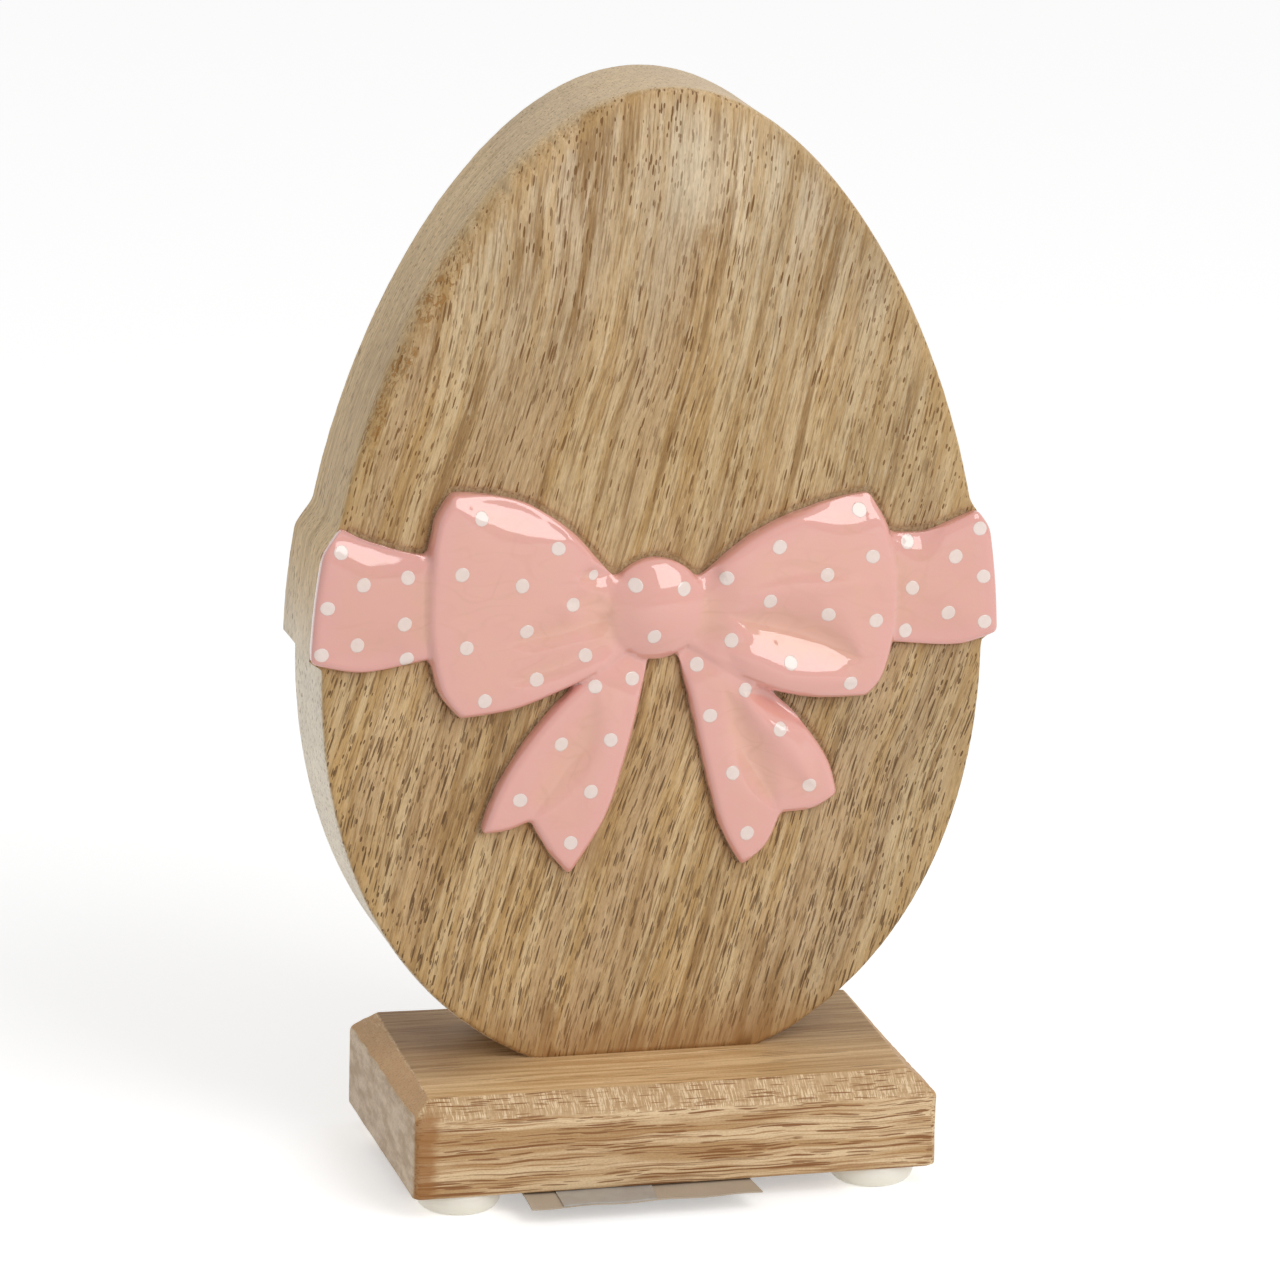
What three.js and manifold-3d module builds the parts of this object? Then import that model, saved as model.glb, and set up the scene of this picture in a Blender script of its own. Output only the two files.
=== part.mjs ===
// Wooden egg on a stand: an upright egg-shaped slab with a carved ribbon bow under pink enamel,
// screwed to a chamfered wooden base on four clear pads.
// Millimetres, +Z up, the bow faces -Y, the base stands at Z = 0.

import * as THREE from 'three';
import { mergeVertices } from 'three/addons/utils/BufferGeometryUtils.js';
import Module from 'manifold-3d';

const wasm = await Module();
wasm.setup();

// Clear pads under the base
const PAD_DIAMETER = 16;
const PAD_HEIGHT = 4;
const PAD_FLAT_DIAMETER = 11;
const PAD_ROUND_HEIGHT = 2.4;
const PAD_INSET_SIDE = 10.1;
const PAD_INSET_FRONT = 8.3;
const PAD_SEGMENTS = 24;

// Base block, with a hand-cut chamfer of its own width on each side and at each end of a side
const BASE_WIDTH = 97.7;
const BASE_DEPTH = 56;
const BASE_HEIGHT = 17.6;
const CHAMFER_LEFT_AT_FRONT = 3.6;
const CHAMFER_LEFT_AT_BACK = 5.2;
const CHAMFER_RIGHT_AT_FRONT = 4.3;
const CHAMFER_RIGHT_AT_BACK = 3;
const CHAMFER_FRONT = 4.8;
const CHAMFER_BACK_AT_LEFT = 1;
const CHAMFER_BACK_AT_RIGHT = 4.4;
const CHAMFER_DROP_LEFT = 2.6;
const CHAMFER_DROP_RIGHT = 3.9;

// Egg slab, sawn flat at the blunt end where it stands on the base
const EGG_HEIGHT = 183;
const EGG_HALF_WIDTH = 60.7;
const EGG_TAPER = 9.8;
const EGG_FOOT_CUT = 4.6;
const SLAB_THICKNESS = 24;
const SLAB_SET_BACK = 7.1;
const SLAB_EDGE_ROUND = 1.2;
const EGG_SEGMENTS = 84;

// Ribbon ring left proud on the sides of the slab
const RING_HEIGHT = 2.3;
const RING_TOP = 17.6;
const RING_BOTTOM = -9.2;
const RING_TOP_RAMP = 6;
const RING_BOTTOM_RAMP = 2;
const RING_SEGMENTS = 14;

// Bow relief, measured up from the carved face of the slab
const BOW_ABOVE_BASE = 84;
const BOW_EDGE_STEP = 1.5;
const RIBBON_EDGE_SHARPNESS = 6;
const RIBBON_END_SHARPNESS = 14;
const RIBBON_COLUMNS = 10;
const RIBBON_ROWS = 8;
const BAND_RELIEF = 2.6;
const LOOP_RELIEF = 3.9;
const TAIL_RELIEF = 3.1;
const KNOT_RELIEF = 4.8;
const ENAMEL_THICKNESS = 0.6;
const ENAMEL_CLEARANCE = 0.3;
const KNOT_X = -0.6;
const KNOT_HALF_WIDTH = 8.6;
const KNOT_HALF_HEIGHT = 9.3;
const KNOT_RINGS = 7;
const KNOT_SEGMENTS = 28;
const RIGHT_BAND_TOP_DROP = 2.3;
const LEFT_BAND_BOTTOM_RISE = 0.6;
const RIGHT_BAND_BOTTOM_RISE = 0.8;

// Millimetres to one unit of the drawn ribbon edges
const BOW_UNIT = 1;

// Screws that hold the egg to the base, side by side so that it can't turn
const SCREW_SPACING = 22;
const SCREW_LENGTH = 34;
const SCREW_DIAMETER = 4;
const SCREW_HEAD_DIAMETER = 8;
const SCREW_HEAD_HEIGHT = 2.6;
const SCREW_HEAD_LAND = 0.5;
const SCREW_TIP_LENGTH = 5;
const SCREW_RECESS_WIDTH = 1;
const SCREW_RECESS_LENGTH = 4.4;
const SCREW_RECESS_DEPTH = 1.4;
const SCREW_CLEARANCE = 0.3;
const SCREW_SEGMENTS = 24;

// Blank paper strip under the base, held by a piece of clear tape, with its front edge showing
const LABEL_LENGTH = 42.7;
const LABEL_DEPTH = 20;
const LABEL_THICKNESS = 0.3;
const LABEL_TO_PAD = 2.4;
const LABEL_OVERHANG = 5.8;
const LABEL_DROOP = 1.1;
const TAPE_WIDTH = 18;
const TAPE_FROM_LABEL_END = 5.8;
const TAPE_THICKNESS = 0.2;
const TAPE_BEHIND_LABEL = 3;
const TAPE_TO_LABEL = 0.1;

// Heights and planes that follow from the sizes above
const BASE_TOP = PAD_HEIGHT + BASE_HEIGHT;
const EGG_CENTRE_Z = BASE_TOP - EGG_FOOT_CUT + EGG_HEIGHT / 2;
const FACE_Y = SLAB_SET_BACK - SLAB_THICKNESS / 2;
const BACK_Y = SLAB_SET_BACK + SLAB_THICKNESS / 2;
const BOW_Z = BASE_TOP + BOW_ABOVE_BASE;
const BAND_REACH = EGG_HALF_WIDTH + EGG_TAPER / 2 + RING_HEIGHT;
const PAD_X = BASE_WIDTH / 2 - PAD_INSET_SIDE;
const PAD_Y = BASE_DEPTH / 2 - PAD_INSET_FRONT;
const LABEL_LEFT = -PAD_X + PAD_DIAMETER / 2 + LABEL_TO_PAD;
const LABEL_FRONT = -BASE_DEPTH / 2 - LABEL_OVERHANG;

const WOOD = { color: 0xc9a273, roughness: 0.6, metalness: 0 };
const BASE_WOOD = { color: 0xc29a68, roughness: 0.6, metalness: 0 };
const PINK_ENAMEL = { color: 0xf3a9a6, roughness: 0.12, metalness: 0 };
const CLEAR_RUBBER = { color: 0xeeeee8, roughness: 0.35, metalness: 0 };
const STEEL = { color: 0xb8b8ba, roughness: 0.35, metalness: 1 };
const PAPER = { color: 0xb3a898, roughness: 0.9, metalness: 0 };
const CLEAR_TAPE = { color: 0xd9d5cc, roughness: 0.2, metalness: 0 };

// Vertices closer than this are one vertex
const MERGE_DISTANCE = 1e-4;

// How far the hollow behind the enamel runs past the face of the slab
const HOLLOW_OVERCUT = 1;

// Helpers for solids

function toManifold(geometry) {
  const bare = new THREE.BufferGeometry();
  bare.setAttribute('position', geometry.getAttribute('position').clone());
  bare.setIndex(geometry.getIndex());
  const merged = mergeVertices(bare, MERGE_DISTANCE);
  const vertProperties = new Float32Array(merged.getAttribute('position').array);
  const triVerts = new Uint32Array(merged.getIndex().array);
  return new wasm.Manifold(new wasm.Mesh({ numProp: 3, vertProperties, triVerts }));
}

function toGeometry(solid) {
  const mesh = solid.getMesh();
  const geometry = new THREE.BufferGeometry();
  geometry.setAttribute('position', new THREE.BufferAttribute(mesh.vertProperties, 3));
  geometry.setIndex(new THREE.BufferAttribute(mesh.triVerts, 1));
  geometry.computeVertexNormals();
  return geometry;
}

function join(solids) {
  return solids.reduce((sum, solid) => sum.add(solid));
}

function part(name, geometry, look) {
  const mesh = new THREE.Mesh(geometry, new THREE.MeshStandardMaterial(look));
  mesh.name = name;
  return mesh;
}

function smoothStep(low, high, value) {
  return THREE.MathUtils.smoothstep(value, low, high);
}

// An outline in the XZ plane made solid between two Y planes, with its long edges rounded
function plate(outline, frontY, backY, round) {
  const geometry = new THREE.ExtrudeGeometry(new THREE.Shape(outline), {
    depth: backY - frontY - 2 * round,
    bevelEnabled: round > 0,
    bevelThickness: round,
    bevelSize: round,
    bevelOffset: -round,
    bevelSegments: 3,
  });
  geometry.rotateX(Math.PI / 2);
  geometry.translate(0, backY - round, 0);
  return toManifold(geometry);
}

// Egg outline

function eggPoint(angle) {
  const halfWidth = (EGG_HALF_WIDTH - EGG_TAPER * Math.cos(angle)) * Math.sin(angle);
  return new THREE.Vector2(halfWidth, EGG_CENTRE_Z + EGG_HEIGHT / 2 * Math.cos(angle));
}

function eggOutline() {
  const points = [];
  for (let i = 0; i < EGG_SEGMENTS; i += 1) {
    points.push(eggPoint(-i / EGG_SEGMENTS * 2 * Math.PI));
  }
  return points;
}

function ringOutline() {
  const side = [];
  for (let i = 0; i <= RING_SEGMENTS; i += 1) {
    const z = THREE.MathUtils.lerp(RING_BOTTOM, RING_TOP, i / RING_SEGMENTS);
    const angle = Math.acos((BOW_Z + z - EGG_CENTRE_Z) / (EGG_HEIGHT / 2));
    const point = eggPoint(angle);
    const rise = smoothStep(RING_BOTTOM, RING_BOTTOM + RING_BOTTOM_RAMP, z)
      * (1 - smoothStep(RING_TOP - RING_TOP_RAMP, RING_TOP, z));
    point.x += RING_HEIGHT * rise;
    side.push(point);
  }
  const mirrored = side.map((point) => new THREE.Vector2(-point.x, point.y));
  return side.concat(mirrored.reverse());
}

function slab(frontY, backY, round) {
  const egg = plate(eggOutline(), frontY, backY, round);
  const ring = plate(ringOutline(), frontY, backY, round);
  return egg.add(ring);
}

// Bow outline: edges in units of the drawing from the centre of the bow, outwards from the knot

function spline(...points) {
  const places = points.map(([x, z]) => new THREE.Vector2(x, z).multiplyScalar(BOW_UNIT));
  const curve = new THREE.SplineCurve(places);
  return (t) => curve.getPointAt(t);
}

// A length in millimetres as units of the drawing
function drawn(length) {
  return length / BOW_UNIT;
}

function notched(first, second) {
  return (t) => (t < 0.5 ? first(2 * t) : second(2 * t - 1));
}

// Share of the full height at a place across a ribbon, where 0 and 1 are its two edges
function crown(v) {
  return Math.sqrt(1 - (2 * v - 1) ** RIBBON_EDGE_SHARPNESS);
}

function endRound(u) {
  return Math.sqrt(1 - u ** RIBBON_END_SHARPNESS);
}

function bump(value, centre, width) {
  return Math.exp(-(((value - centre) / width) ** 2));
}

const LEFT_LOOP = {
  bottom: spline([-4, -6], [-11, -11], [-18.7, -14.5], [-27, -17.4], [-36.7, -18.6]),
  top: spline([-4, 5], [-8.7, 6.6], [-15.7, 14.4], [-23, 19.5], [-30.2, 22], [-38.4, 22.8]),
  inner: spline([-4, -6], [-4, 5]),
  outer: spline([-36.7, -18.6], [-40.6, -13.2], [-42.8, -3], [-42.8, 8], [-41.4, 18], [-38.4, 22.8]),
  relief: (u, v) => LOOP_RELIEF * (1 - 0.22 * bump(v, 0.36, 0.1) * (1 - u)
    - 0.16 * bump(v, 0.68, 0.08) * (1 - u)),
};

const RIGHT_LOOP = {
  bottom: spline([4, -6], [12, -11.5], [20.4, -15.7], [29, -17.8], [39, -18]),
  top: spline([4, 5], [7.8, 5.7], [15.7, 12], [23.4, 16], [32.3, 18.8], [38.6, 19.9]),
  inner: spline([4, -6], [4, 5]),
  outer: spline([39, -18], [42.2, -14], [44.2, -5], [44.2, 5], [42.4, 13.4], [38.6, 19.9]),
  relief: (u, v) => LOOP_RELIEF * (1 - 0.22 * bump(v, 0.45, 0.09) * (1 - 0.7 * u)
    - 0.16 * bump(v, 0.72, 0.08) * (1 - u) - 0.12 * bump(v, 0.05, 0.08)),
};

const LEFT_BAND = {
  bottom: spline(
    [-34, -6.4],
    [-43, -7.6],
    [-52.7, drawn(RING_BOTTOM)],
    [-59, drawn(RING_BOTTOM + LEFT_BAND_BOTTOM_RISE)],
    [-drawn(BAND_REACH), -6],
  ),
  top: spline(
    [-34, 11],
    [-43.3, 11.6],
    [-52.9, 14.4],
    [-59.3, drawn(RING_TOP)],
    [-drawn(BAND_REACH), 21.5],
  ),
  inner: spline([-34, -6.4], [-34, 11]),
  outer: spline([-drawn(BAND_REACH), -6], [-drawn(BAND_REACH), 21.5]),
  relief: (u, v) => BAND_RELIEF * (1 - 0.14 * bump(v, 0.55, 0.14) * (1 - u)),
  open: true,
};

const RIGHT_BAND = {
  bottom: spline(
    [34, -7],
    [44, -8.2],
    [54.9, drawn(RING_BOTTOM)],
    [60, drawn(RING_BOTTOM + RIGHT_BAND_BOTTOM_RISE)],
    [drawn(BAND_REACH), -5.6],
  ),
  top: spline(
    [34, 11.8],
    [44, 12],
    [50.5, 12.3],
    [58.3, drawn(RING_TOP - RIGHT_BAND_TOP_DROP)],
    [drawn(BAND_REACH), 19.6],
  ),
  inner: spline([34, -7], [34, 11.8]),
  outer: spline([drawn(BAND_REACH), -5.6], [drawn(BAND_REACH), 19.6]),
  relief: (u, v) => BAND_RELIEF * (1 - 0.14 * bump(v, 0.5, 0.14) * (1 - u)),
  open: true,
};

const LEFT_TAIL = {
  bottom: spline([-7, -6], [-18.3, -16.8], [-25, -25], [-29.5, -32.6], [-32.4, -40.4]),
  top: spline([-1.6, -6], [-2.8, -13.9], [-5.4, -25.8], [-9.3, -38.3], [-15.9, -49]),
  inner: spline([-7, -6], [-1.6, -6]),
  outer: notched(
    spline([-32.4, -40.4], [-27.6, -40], [-23.3, -38.4]),
    spline([-23.3, -38.4], [-19.8, -44.4], [-15.9, -49]),
  ),
  relief: (u, v) => TAIL_RELIEF * (1 - 0.3 * bump(v, 0.34, 0.13)),
};

const RIGHT_TAIL = {
  bottom: spline([3, -6], [5.3, -14.3], [8.5, -27.6], [12.2, -41], [16.4, -49]),
  top: spline([7, -6], [20.8, -16], [27.4, -22.6], [32.2, -29.6], [34.2, -36.2]),
  inner: spline([3, -6], [7, -6]),
  outer: notched(
    spline([16.4, -49], [21, -45.2], [23.6, -39.3]),
    spline([23.6, -39.3], [29.6, -38.8], [34.2, -36.2]),
  ),
  relief: (u, v) => TAIL_RELIEF * (1 - 0.3 * bump(v, 0.56, 0.1)),
};

// The place on a ribbon at u along it and v across it, blended from its four edges
function ribbonPoint(ribbon, u, v) {
  const sides = ribbon.bottom(u).multiplyScalar(1 - v).addScaledVector(ribbon.top(u), v);
  const ends = ribbon.inner(v).multiplyScalar(1 - u).addScaledVector(ribbon.outer(v), u);
  const corners = ribbon.bottom(0).multiplyScalar((1 - u) * (1 - v))
    .addScaledVector(ribbon.bottom(1), u * (1 - v))
    .addScaledVector(ribbon.top(0), (1 - u) * v)
    .addScaledVector(ribbon.top(1), u * v);
  return sides.add(ends).sub(corners);
}

// A ribbon as a solid: its edges drawn in by inset and its face lowered by the same amount
function ribbonSolid(ribbon, inset, backY) {
  const columns = RIBBON_COLUMNS;
  const rows = RIBBON_ROWS;
  const front = [];
  const back = [];
  const length = ribbon.bottom(1).distanceTo(ribbon.bottom(0));
  for (let i = 0; i <= columns; i += 1) {
    const along = Math.sin(i / columns * Math.PI / 2);
    const u = ribbon.open ? along : along * (1 - inset / length);
    const trim = inset / ribbon.top(u).distanceTo(ribbon.bottom(u));
    for (let j = 0; j <= rows; j += 1) {
      const across = (1 - Math.cos(j / rows * Math.PI)) / 2;
      const v = THREE.MathUtils.lerp(trim, 1 - trim, across);
      const place = ribbonPoint(ribbon, u, v);
      const round = crown(across) * (ribbon.open ? 1 : endRound(along));
      const height = BOW_EDGE_STEP + (ribbon.relief(u, v) - BOW_EDGE_STEP) * round - inset;
      front.push(place.x, FACE_Y - height, BOW_Z + place.y);
      back.push(place.x, backY, BOW_Z + place.y);
    }
  }
  return toManifold(closedGrid(front, back, columns, rows));
}

// Two grids of the same size joined along their borders into one closed surface
function closedGrid(front, back, columns, rows) {
  const index = [];
  const at = (i, j, layer) => layer * (columns + 1) * (rows + 1) + i * (rows + 1) + j;
  const quad = (a, b, c, d) => index.push(a, b, c, a, c, d);
  for (let i = 0; i < columns; i += 1) {
    for (let j = 0; j < rows; j += 1) {
      quad(at(i, j, 0), at(i + 1, j, 0), at(i + 1, j + 1, 0), at(i, j + 1, 0));
      quad(at(i, j, 1), at(i, j + 1, 1), at(i + 1, j + 1, 1), at(i + 1, j, 1));
    }
    quad(at(i, 0, 1), at(i + 1, 0, 1), at(i + 1, 0, 0), at(i, 0, 0));
    quad(at(i, rows, 0), at(i + 1, rows, 0), at(i + 1, rows, 1), at(i, rows, 1));
  }
  for (let j = 0; j < rows; j += 1) {
    quad(at(0, j, 0), at(0, j + 1, 0), at(0, j + 1, 1), at(0, j, 1));
    quad(at(columns, j, 1), at(columns, j + 1, 1), at(columns, j + 1, 0), at(columns, j, 0));
  }
  const geometry = new THREE.BufferGeometry();
  geometry.setAttribute('position', new THREE.Float32BufferAttribute(front.concat(back), 3));
  const leftHanded = gridVolume(geometry, index) < 0;
  geometry.setIndex(leftHanded ? index.reverse() : index);
  return geometry;
}

function gridVolume(geometry, index) {
  const corner = [new THREE.Vector3(), new THREE.Vector3(), new THREE.Vector3()];
  const position = geometry.getAttribute('position');
  let volume = 0;
  for (let i = 0; i < index.length; i += 3) {
    corner.forEach((point, k) => point.fromBufferAttribute(position, index[i + k]));
    volume += corner[0].dot(corner[1].cross(corner[2])) / 6;
  }
  return volume;
}

// The knot is a dome on an oval
function knotSolid(inset, backY) {
  const height = KNOT_RELIEF - inset;
  const edge = BOW_EDGE_STEP - inset;
  const profile = [new THREE.Vector2(0, FACE_Y - backY)];
  profile.push(new THREE.Vector2(1, FACE_Y - backY));
  for (let i = 0; i <= KNOT_RINGS; i += 1) {
    const angle = i / KNOT_RINGS * Math.PI / 2;
    const radius = i === KNOT_RINGS ? 0 : Math.cos(angle);
    profile.push(new THREE.Vector2(radius, edge + (height - edge) * Math.sin(angle)));
  }
  const geometry = new THREE.LatheGeometry(profile, KNOT_SEGMENTS);
  geometry.scale(KNOT_HALF_WIDTH - inset, 1, KNOT_HALF_HEIGHT - inset);
  geometry.rotateX(Math.PI);
  geometry.translate(KNOT_X, FACE_Y, BOW_Z);
  return toManifold(geometry);
}

function bowSolid(inset, backY) {
  const ribbons = [LEFT_LOOP, RIGHT_LOOP, LEFT_BAND, RIGHT_BAND, LEFT_TAIL, RIGHT_TAIL];
  const solids = ribbons.map((ribbon) => ribbonSolid(ribbon, inset, backY));
  solids.push(knotSolid(inset, backY));
  return join(solids);
}

// Screws

function screwSolid(x, grow) {
  const shank = SCREW_DIAMETER / 2 + grow;
  const head = SCREW_HEAD_DIAMETER / 2 + grow;
  const profile = [
    new THREE.Vector2(0, -grow),
    new THREE.Vector2(head, -grow),
    new THREE.Vector2(head, SCREW_HEAD_LAND),
    new THREE.Vector2(shank, SCREW_HEAD_HEIGHT),
    new THREE.Vector2(shank, SCREW_LENGTH - SCREW_TIP_LENGTH + grow),
    new THREE.Vector2(0, SCREW_LENGTH + grow),
  ];
  const geometry = new THREE.LatheGeometry(profile, SCREW_SEGMENTS);
  geometry.rotateX(Math.PI / 2);
  geometry.translate(x, SLAB_SET_BACK, PAD_HEIGHT);
  return toManifold(geometry);
}

function crossRecess(x) {
  const size = [SCREW_RECESS_LENGTH, SCREW_RECESS_WIDTH, 2 * SCREW_RECESS_DEPTH];
  const bars = [0, Math.PI / 2].map((turn) => {
    const bar = new THREE.BoxGeometry(...size);
    bar.rotateZ(turn);
    bar.translate(x, SLAB_SET_BACK, PAD_HEIGHT);
    return toManifold(bar);
  });
  return join(bars);
}

const SCREWS = { left: -SCREW_SPACING / 2, right: SCREW_SPACING / 2 };

function drilled(solid) {
  const holes = Object.values(SCREWS).map((x) => screwSolid(x, SCREW_CLEARANCE));
  return holes.reduce((rest, hole) => rest.subtract(hole), solid);
}

// How far a corner of the base's top lies in from the side, and from the front or the back
function topCorner(left, front) {
  if (front) return [left ? CHAMFER_LEFT_AT_FRONT : CHAMFER_RIGHT_AT_FRONT, CHAMFER_FRONT];
  if (left) return [CHAMFER_LEFT_AT_BACK, CHAMFER_BACK_AT_LEFT];
  return [CHAMFER_RIGHT_AT_BACK, CHAMFER_BACK_AT_RIGHT];
}

// Base block: the two upper layers of a three-layer box are drawn in and down to make the chamfer
function baseBlock() {
  const geometry = new THREE.BoxGeometry(BASE_WIDTH, BASE_DEPTH, BASE_HEIGHT, 1, 1, 2);
  const position = geometry.getAttribute('position');
  for (let i = 0; i < position.count; i += 1) {
    const left = position.getX(i) < 0;
    const front = position.getY(i) < 0;
    if (position.getZ(i) > BASE_HEIGHT / 4) {
      const [across, deep] = topCorner(left, front);
      position.setX(i, position.getX(i) + (left ? across : -across));
      position.setY(i, position.getY(i) + (front ? deep : -deep));
    } else if (position.getZ(i) > -BASE_HEIGHT / 4) {
      position.setZ(i, BASE_HEIGHT / 2 - (left ? CHAMFER_DROP_LEFT : CHAMFER_DROP_RIGHT));
    }
  }
  geometry.translate(0, 0, PAD_HEIGHT + BASE_HEIGHT / 2);
  return toManifold(geometry);
}

// Pads

function padGeometry(x, y) {
  const radius = PAD_DIAMETER / 2;
  const flat = PAD_FLAT_DIAMETER / 2;
  const profile = [new THREE.Vector2(0, 0)];
  for (let i = 0; i <= 5; i += 1) {
    const angle = i / 5 * Math.PI / 2;
    const out = flat + (radius - flat) * Math.sin(angle);
    profile.push(new THREE.Vector2(out, PAD_ROUND_HEIGHT * (1 - Math.cos(angle))));
  }
  profile.push(new THREE.Vector2(radius, PAD_HEIGHT), new THREE.Vector2(0, PAD_HEIGHT));
  const geometry = new THREE.LatheGeometry(profile, PAD_SEGMENTS);
  geometry.rotateX(Math.PI / 2);
  geometry.translate(x, y, 0);
  return geometry;
}

// Paper strip and tape: flat under the base, drooping a little past its front edge
function stripGeometry(left, width, back, top, thickness) {
  const geometry = new THREE.BoxGeometry(width, back - LABEL_FRONT, thickness, 2, 8, 1);
  geometry.translate(left + width / 2, (LABEL_FRONT + back) / 2, top - thickness / 2);
  const position = geometry.getAttribute('position');
  for (let i = 0; i < position.count; i += 1) {
    const past = Math.max(0, (-BASE_DEPTH / 2 - position.getY(i)) / LABEL_OVERHANG);
    const loose = 1 - (position.getX(i) - LABEL_LEFT) / LABEL_LENGTH;
    position.setZ(i, position.getZ(i) - LABEL_DROOP * loose * past ** 2);
  }
  return geometry;
}

// Assembly

const labelBack = LABEL_FRONT + LABEL_DEPTH;
const labelTop = PAD_HEIGHT - TAPE_THICKNESS - TAPE_TO_LABEL;
const tapeBack = labelBack + TAPE_BEHIND_LABEL;
const model = new THREE.Group();

const footCut = new THREE.BoxGeometry(4 * EGG_HALF_WIDTH, 4 * SLAB_THICKNESS, 2 * BASE_TOP);
const fullOutline = slab(FACE_Y - 4 * KNOT_RELIEF, BACK_Y, 0);
const core = bowSolid(ENAMEL_THICKNESS + ENAMEL_CLEARANCE, FACE_Y + 2 * SLAB_EDGE_ROUND);
const enamelOuter = bowSolid(0, FACE_Y).intersect(fullOutline);
const enamelHollow = bowSolid(ENAMEL_THICKNESS, FACE_Y + HOLLOW_OVERCUT);

const egg = slab(FACE_Y, BACK_Y, SLAB_EDGE_ROUND)
  .add(core.intersect(fullOutline))
  .subtract(toManifold(footCut));
model.add(part('egg_body', toGeometry(drilled(egg)), WOOD));
model.add(part('bow_enamel', toGeometry(enamelOuter.subtract(enamelHollow)), PINK_ENAMEL));
model.add(part('base_plinth', toGeometry(drilled(baseBlock())), BASE_WOOD));

for (const [side, x] of Object.entries(SCREWS)) {
  const screw = screwSolid(x, 0).subtract(crossRecess(x));
  model.add(part(`mounting_screw_${side}`, toGeometry(screw), STEEL));
}

for (const [end, y] of [['front', -PAD_Y], ['back', PAD_Y]]) {
  for (const [side, x] of [['left', -PAD_X], ['right', PAD_X]]) {
    model.add(part(`foot_pad_${end}_${side}`, padGeometry(x, y), CLEAR_RUBBER));
  }
}

model.add(part('underside_label', stripGeometry(
  LABEL_LEFT, LABEL_LENGTH, labelBack, labelTop, LABEL_THICKNESS,
), PAPER));
model.add(part('label_tape', stripGeometry(
  LABEL_LEFT + TAPE_FROM_LABEL_END, TAPE_WIDTH, tapeBack, PAD_HEIGHT, TAPE_THICKNESS,
), CLEAR_TAPE));

// The origin is the middle of the footprint, which the strip's front edge makes deeper
model.position.y = LABEL_OVERHANG / 2;

export default model;
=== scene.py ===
import math

import bmesh
import bpy
import numpy as np
from mathutils import Matrix, Vector, noise
from mathutils.bvhtree import BVHTree
from mathutils.geometry import delaunay_2d_cdt


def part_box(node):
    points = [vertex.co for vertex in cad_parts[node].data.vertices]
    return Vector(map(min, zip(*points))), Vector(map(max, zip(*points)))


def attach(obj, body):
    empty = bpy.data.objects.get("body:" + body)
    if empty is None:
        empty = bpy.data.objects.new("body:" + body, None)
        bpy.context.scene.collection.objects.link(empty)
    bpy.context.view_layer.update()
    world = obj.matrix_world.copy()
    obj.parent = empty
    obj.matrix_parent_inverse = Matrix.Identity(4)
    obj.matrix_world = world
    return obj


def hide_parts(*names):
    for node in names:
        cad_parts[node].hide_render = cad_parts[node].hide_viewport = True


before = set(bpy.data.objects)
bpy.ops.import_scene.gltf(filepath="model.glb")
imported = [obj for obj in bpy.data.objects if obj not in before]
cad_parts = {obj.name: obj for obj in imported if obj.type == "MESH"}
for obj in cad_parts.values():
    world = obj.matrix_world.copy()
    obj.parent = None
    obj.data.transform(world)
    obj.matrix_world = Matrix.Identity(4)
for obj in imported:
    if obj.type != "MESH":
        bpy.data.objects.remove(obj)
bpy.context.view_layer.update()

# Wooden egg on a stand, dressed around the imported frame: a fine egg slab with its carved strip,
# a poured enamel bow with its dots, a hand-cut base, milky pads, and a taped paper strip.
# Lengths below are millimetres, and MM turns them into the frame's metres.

MM = 0.001


def box_mm(node):
    low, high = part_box(node)
    return low / MM, high / MM


# Places taken from the frame
EGG_LOW, EGG_HIGH = box_mm("egg_body")
BASE_LOW, BASE_HIGH = box_mm("base_plinth")
BACK_Y = EGG_HIGH.y
FOOT_Z = EGG_LOW.z
EGG_TOP = EGG_HIGH.z

# Egg slab
EGG_HEIGHT = 183.0
EGG_HALF_WIDTH = 60.7
EGG_TAPER = 9.8
SLAB_THICKNESS = 24.0
EDGE_ROUND = 1.1
EDGE_ROUND_UNDER_BAND = 0.25
EDGE_ROUND_SANDED = 3.4
EGG_CENTRE_Z = EGG_TOP - EGG_HEIGHT / 2
FACE_Y = BACK_Y - SLAB_THICKNESS
EGG_STEPS = 960
EDGE_STEPS = 6
SIDE_STEPS = 12
SLAB_FIELD_STEPS = 720

# Wooden ring left proud on the sides, measured from the middle of the bow
BOW_Z = FOOT_Z + 84.0
RING_HEIGHT = 2.3
RING_TOP = 17.6
RING_BOTTOM = -9.2
RING_TOP_RAMP = 6.0
RING_BOTTOM_RAMP = 2.0

# Bow relief above the face of the slab
EDGE_STEP = 1.4
RIM_WIDTH = 1.35
BLEND = 1.3
OUTLINE_BLEND = 1.4
SHOULDER_REACH = 5.0
OUTSIDE_FALL = 3
KNOT_STEPS = 96
KNOT_X = -0.6
KNOT_HALF_WIDTH = 9.0
KNOT_HALF_HEIGHT = 9.3
KNOT_RELIEF = 4.6
KNOT_CAP = 2.6
KNOT_DIP = 1.5
KNOT_DIP_WIDTH = 4.5
BAND_REACH = 67.9
FOLD_FADE = 0.85

# Small waves in the enamel's surface and in its edge: a height, then a length, the length of its bend
# and the bend, first for the waves across and then for those up
RIPPLE = (0.03, 3.1, 4.3, 1.7, 3.7, 5.1, 1.3)
WOBBLE = (0.09, 1.9, 2.7, 2, 1.6, 2.3, 1)
WOBBLE_DEPTHS = (0.6, 2.5)
KNOT_RIPPLE_REACH = 1

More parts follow.
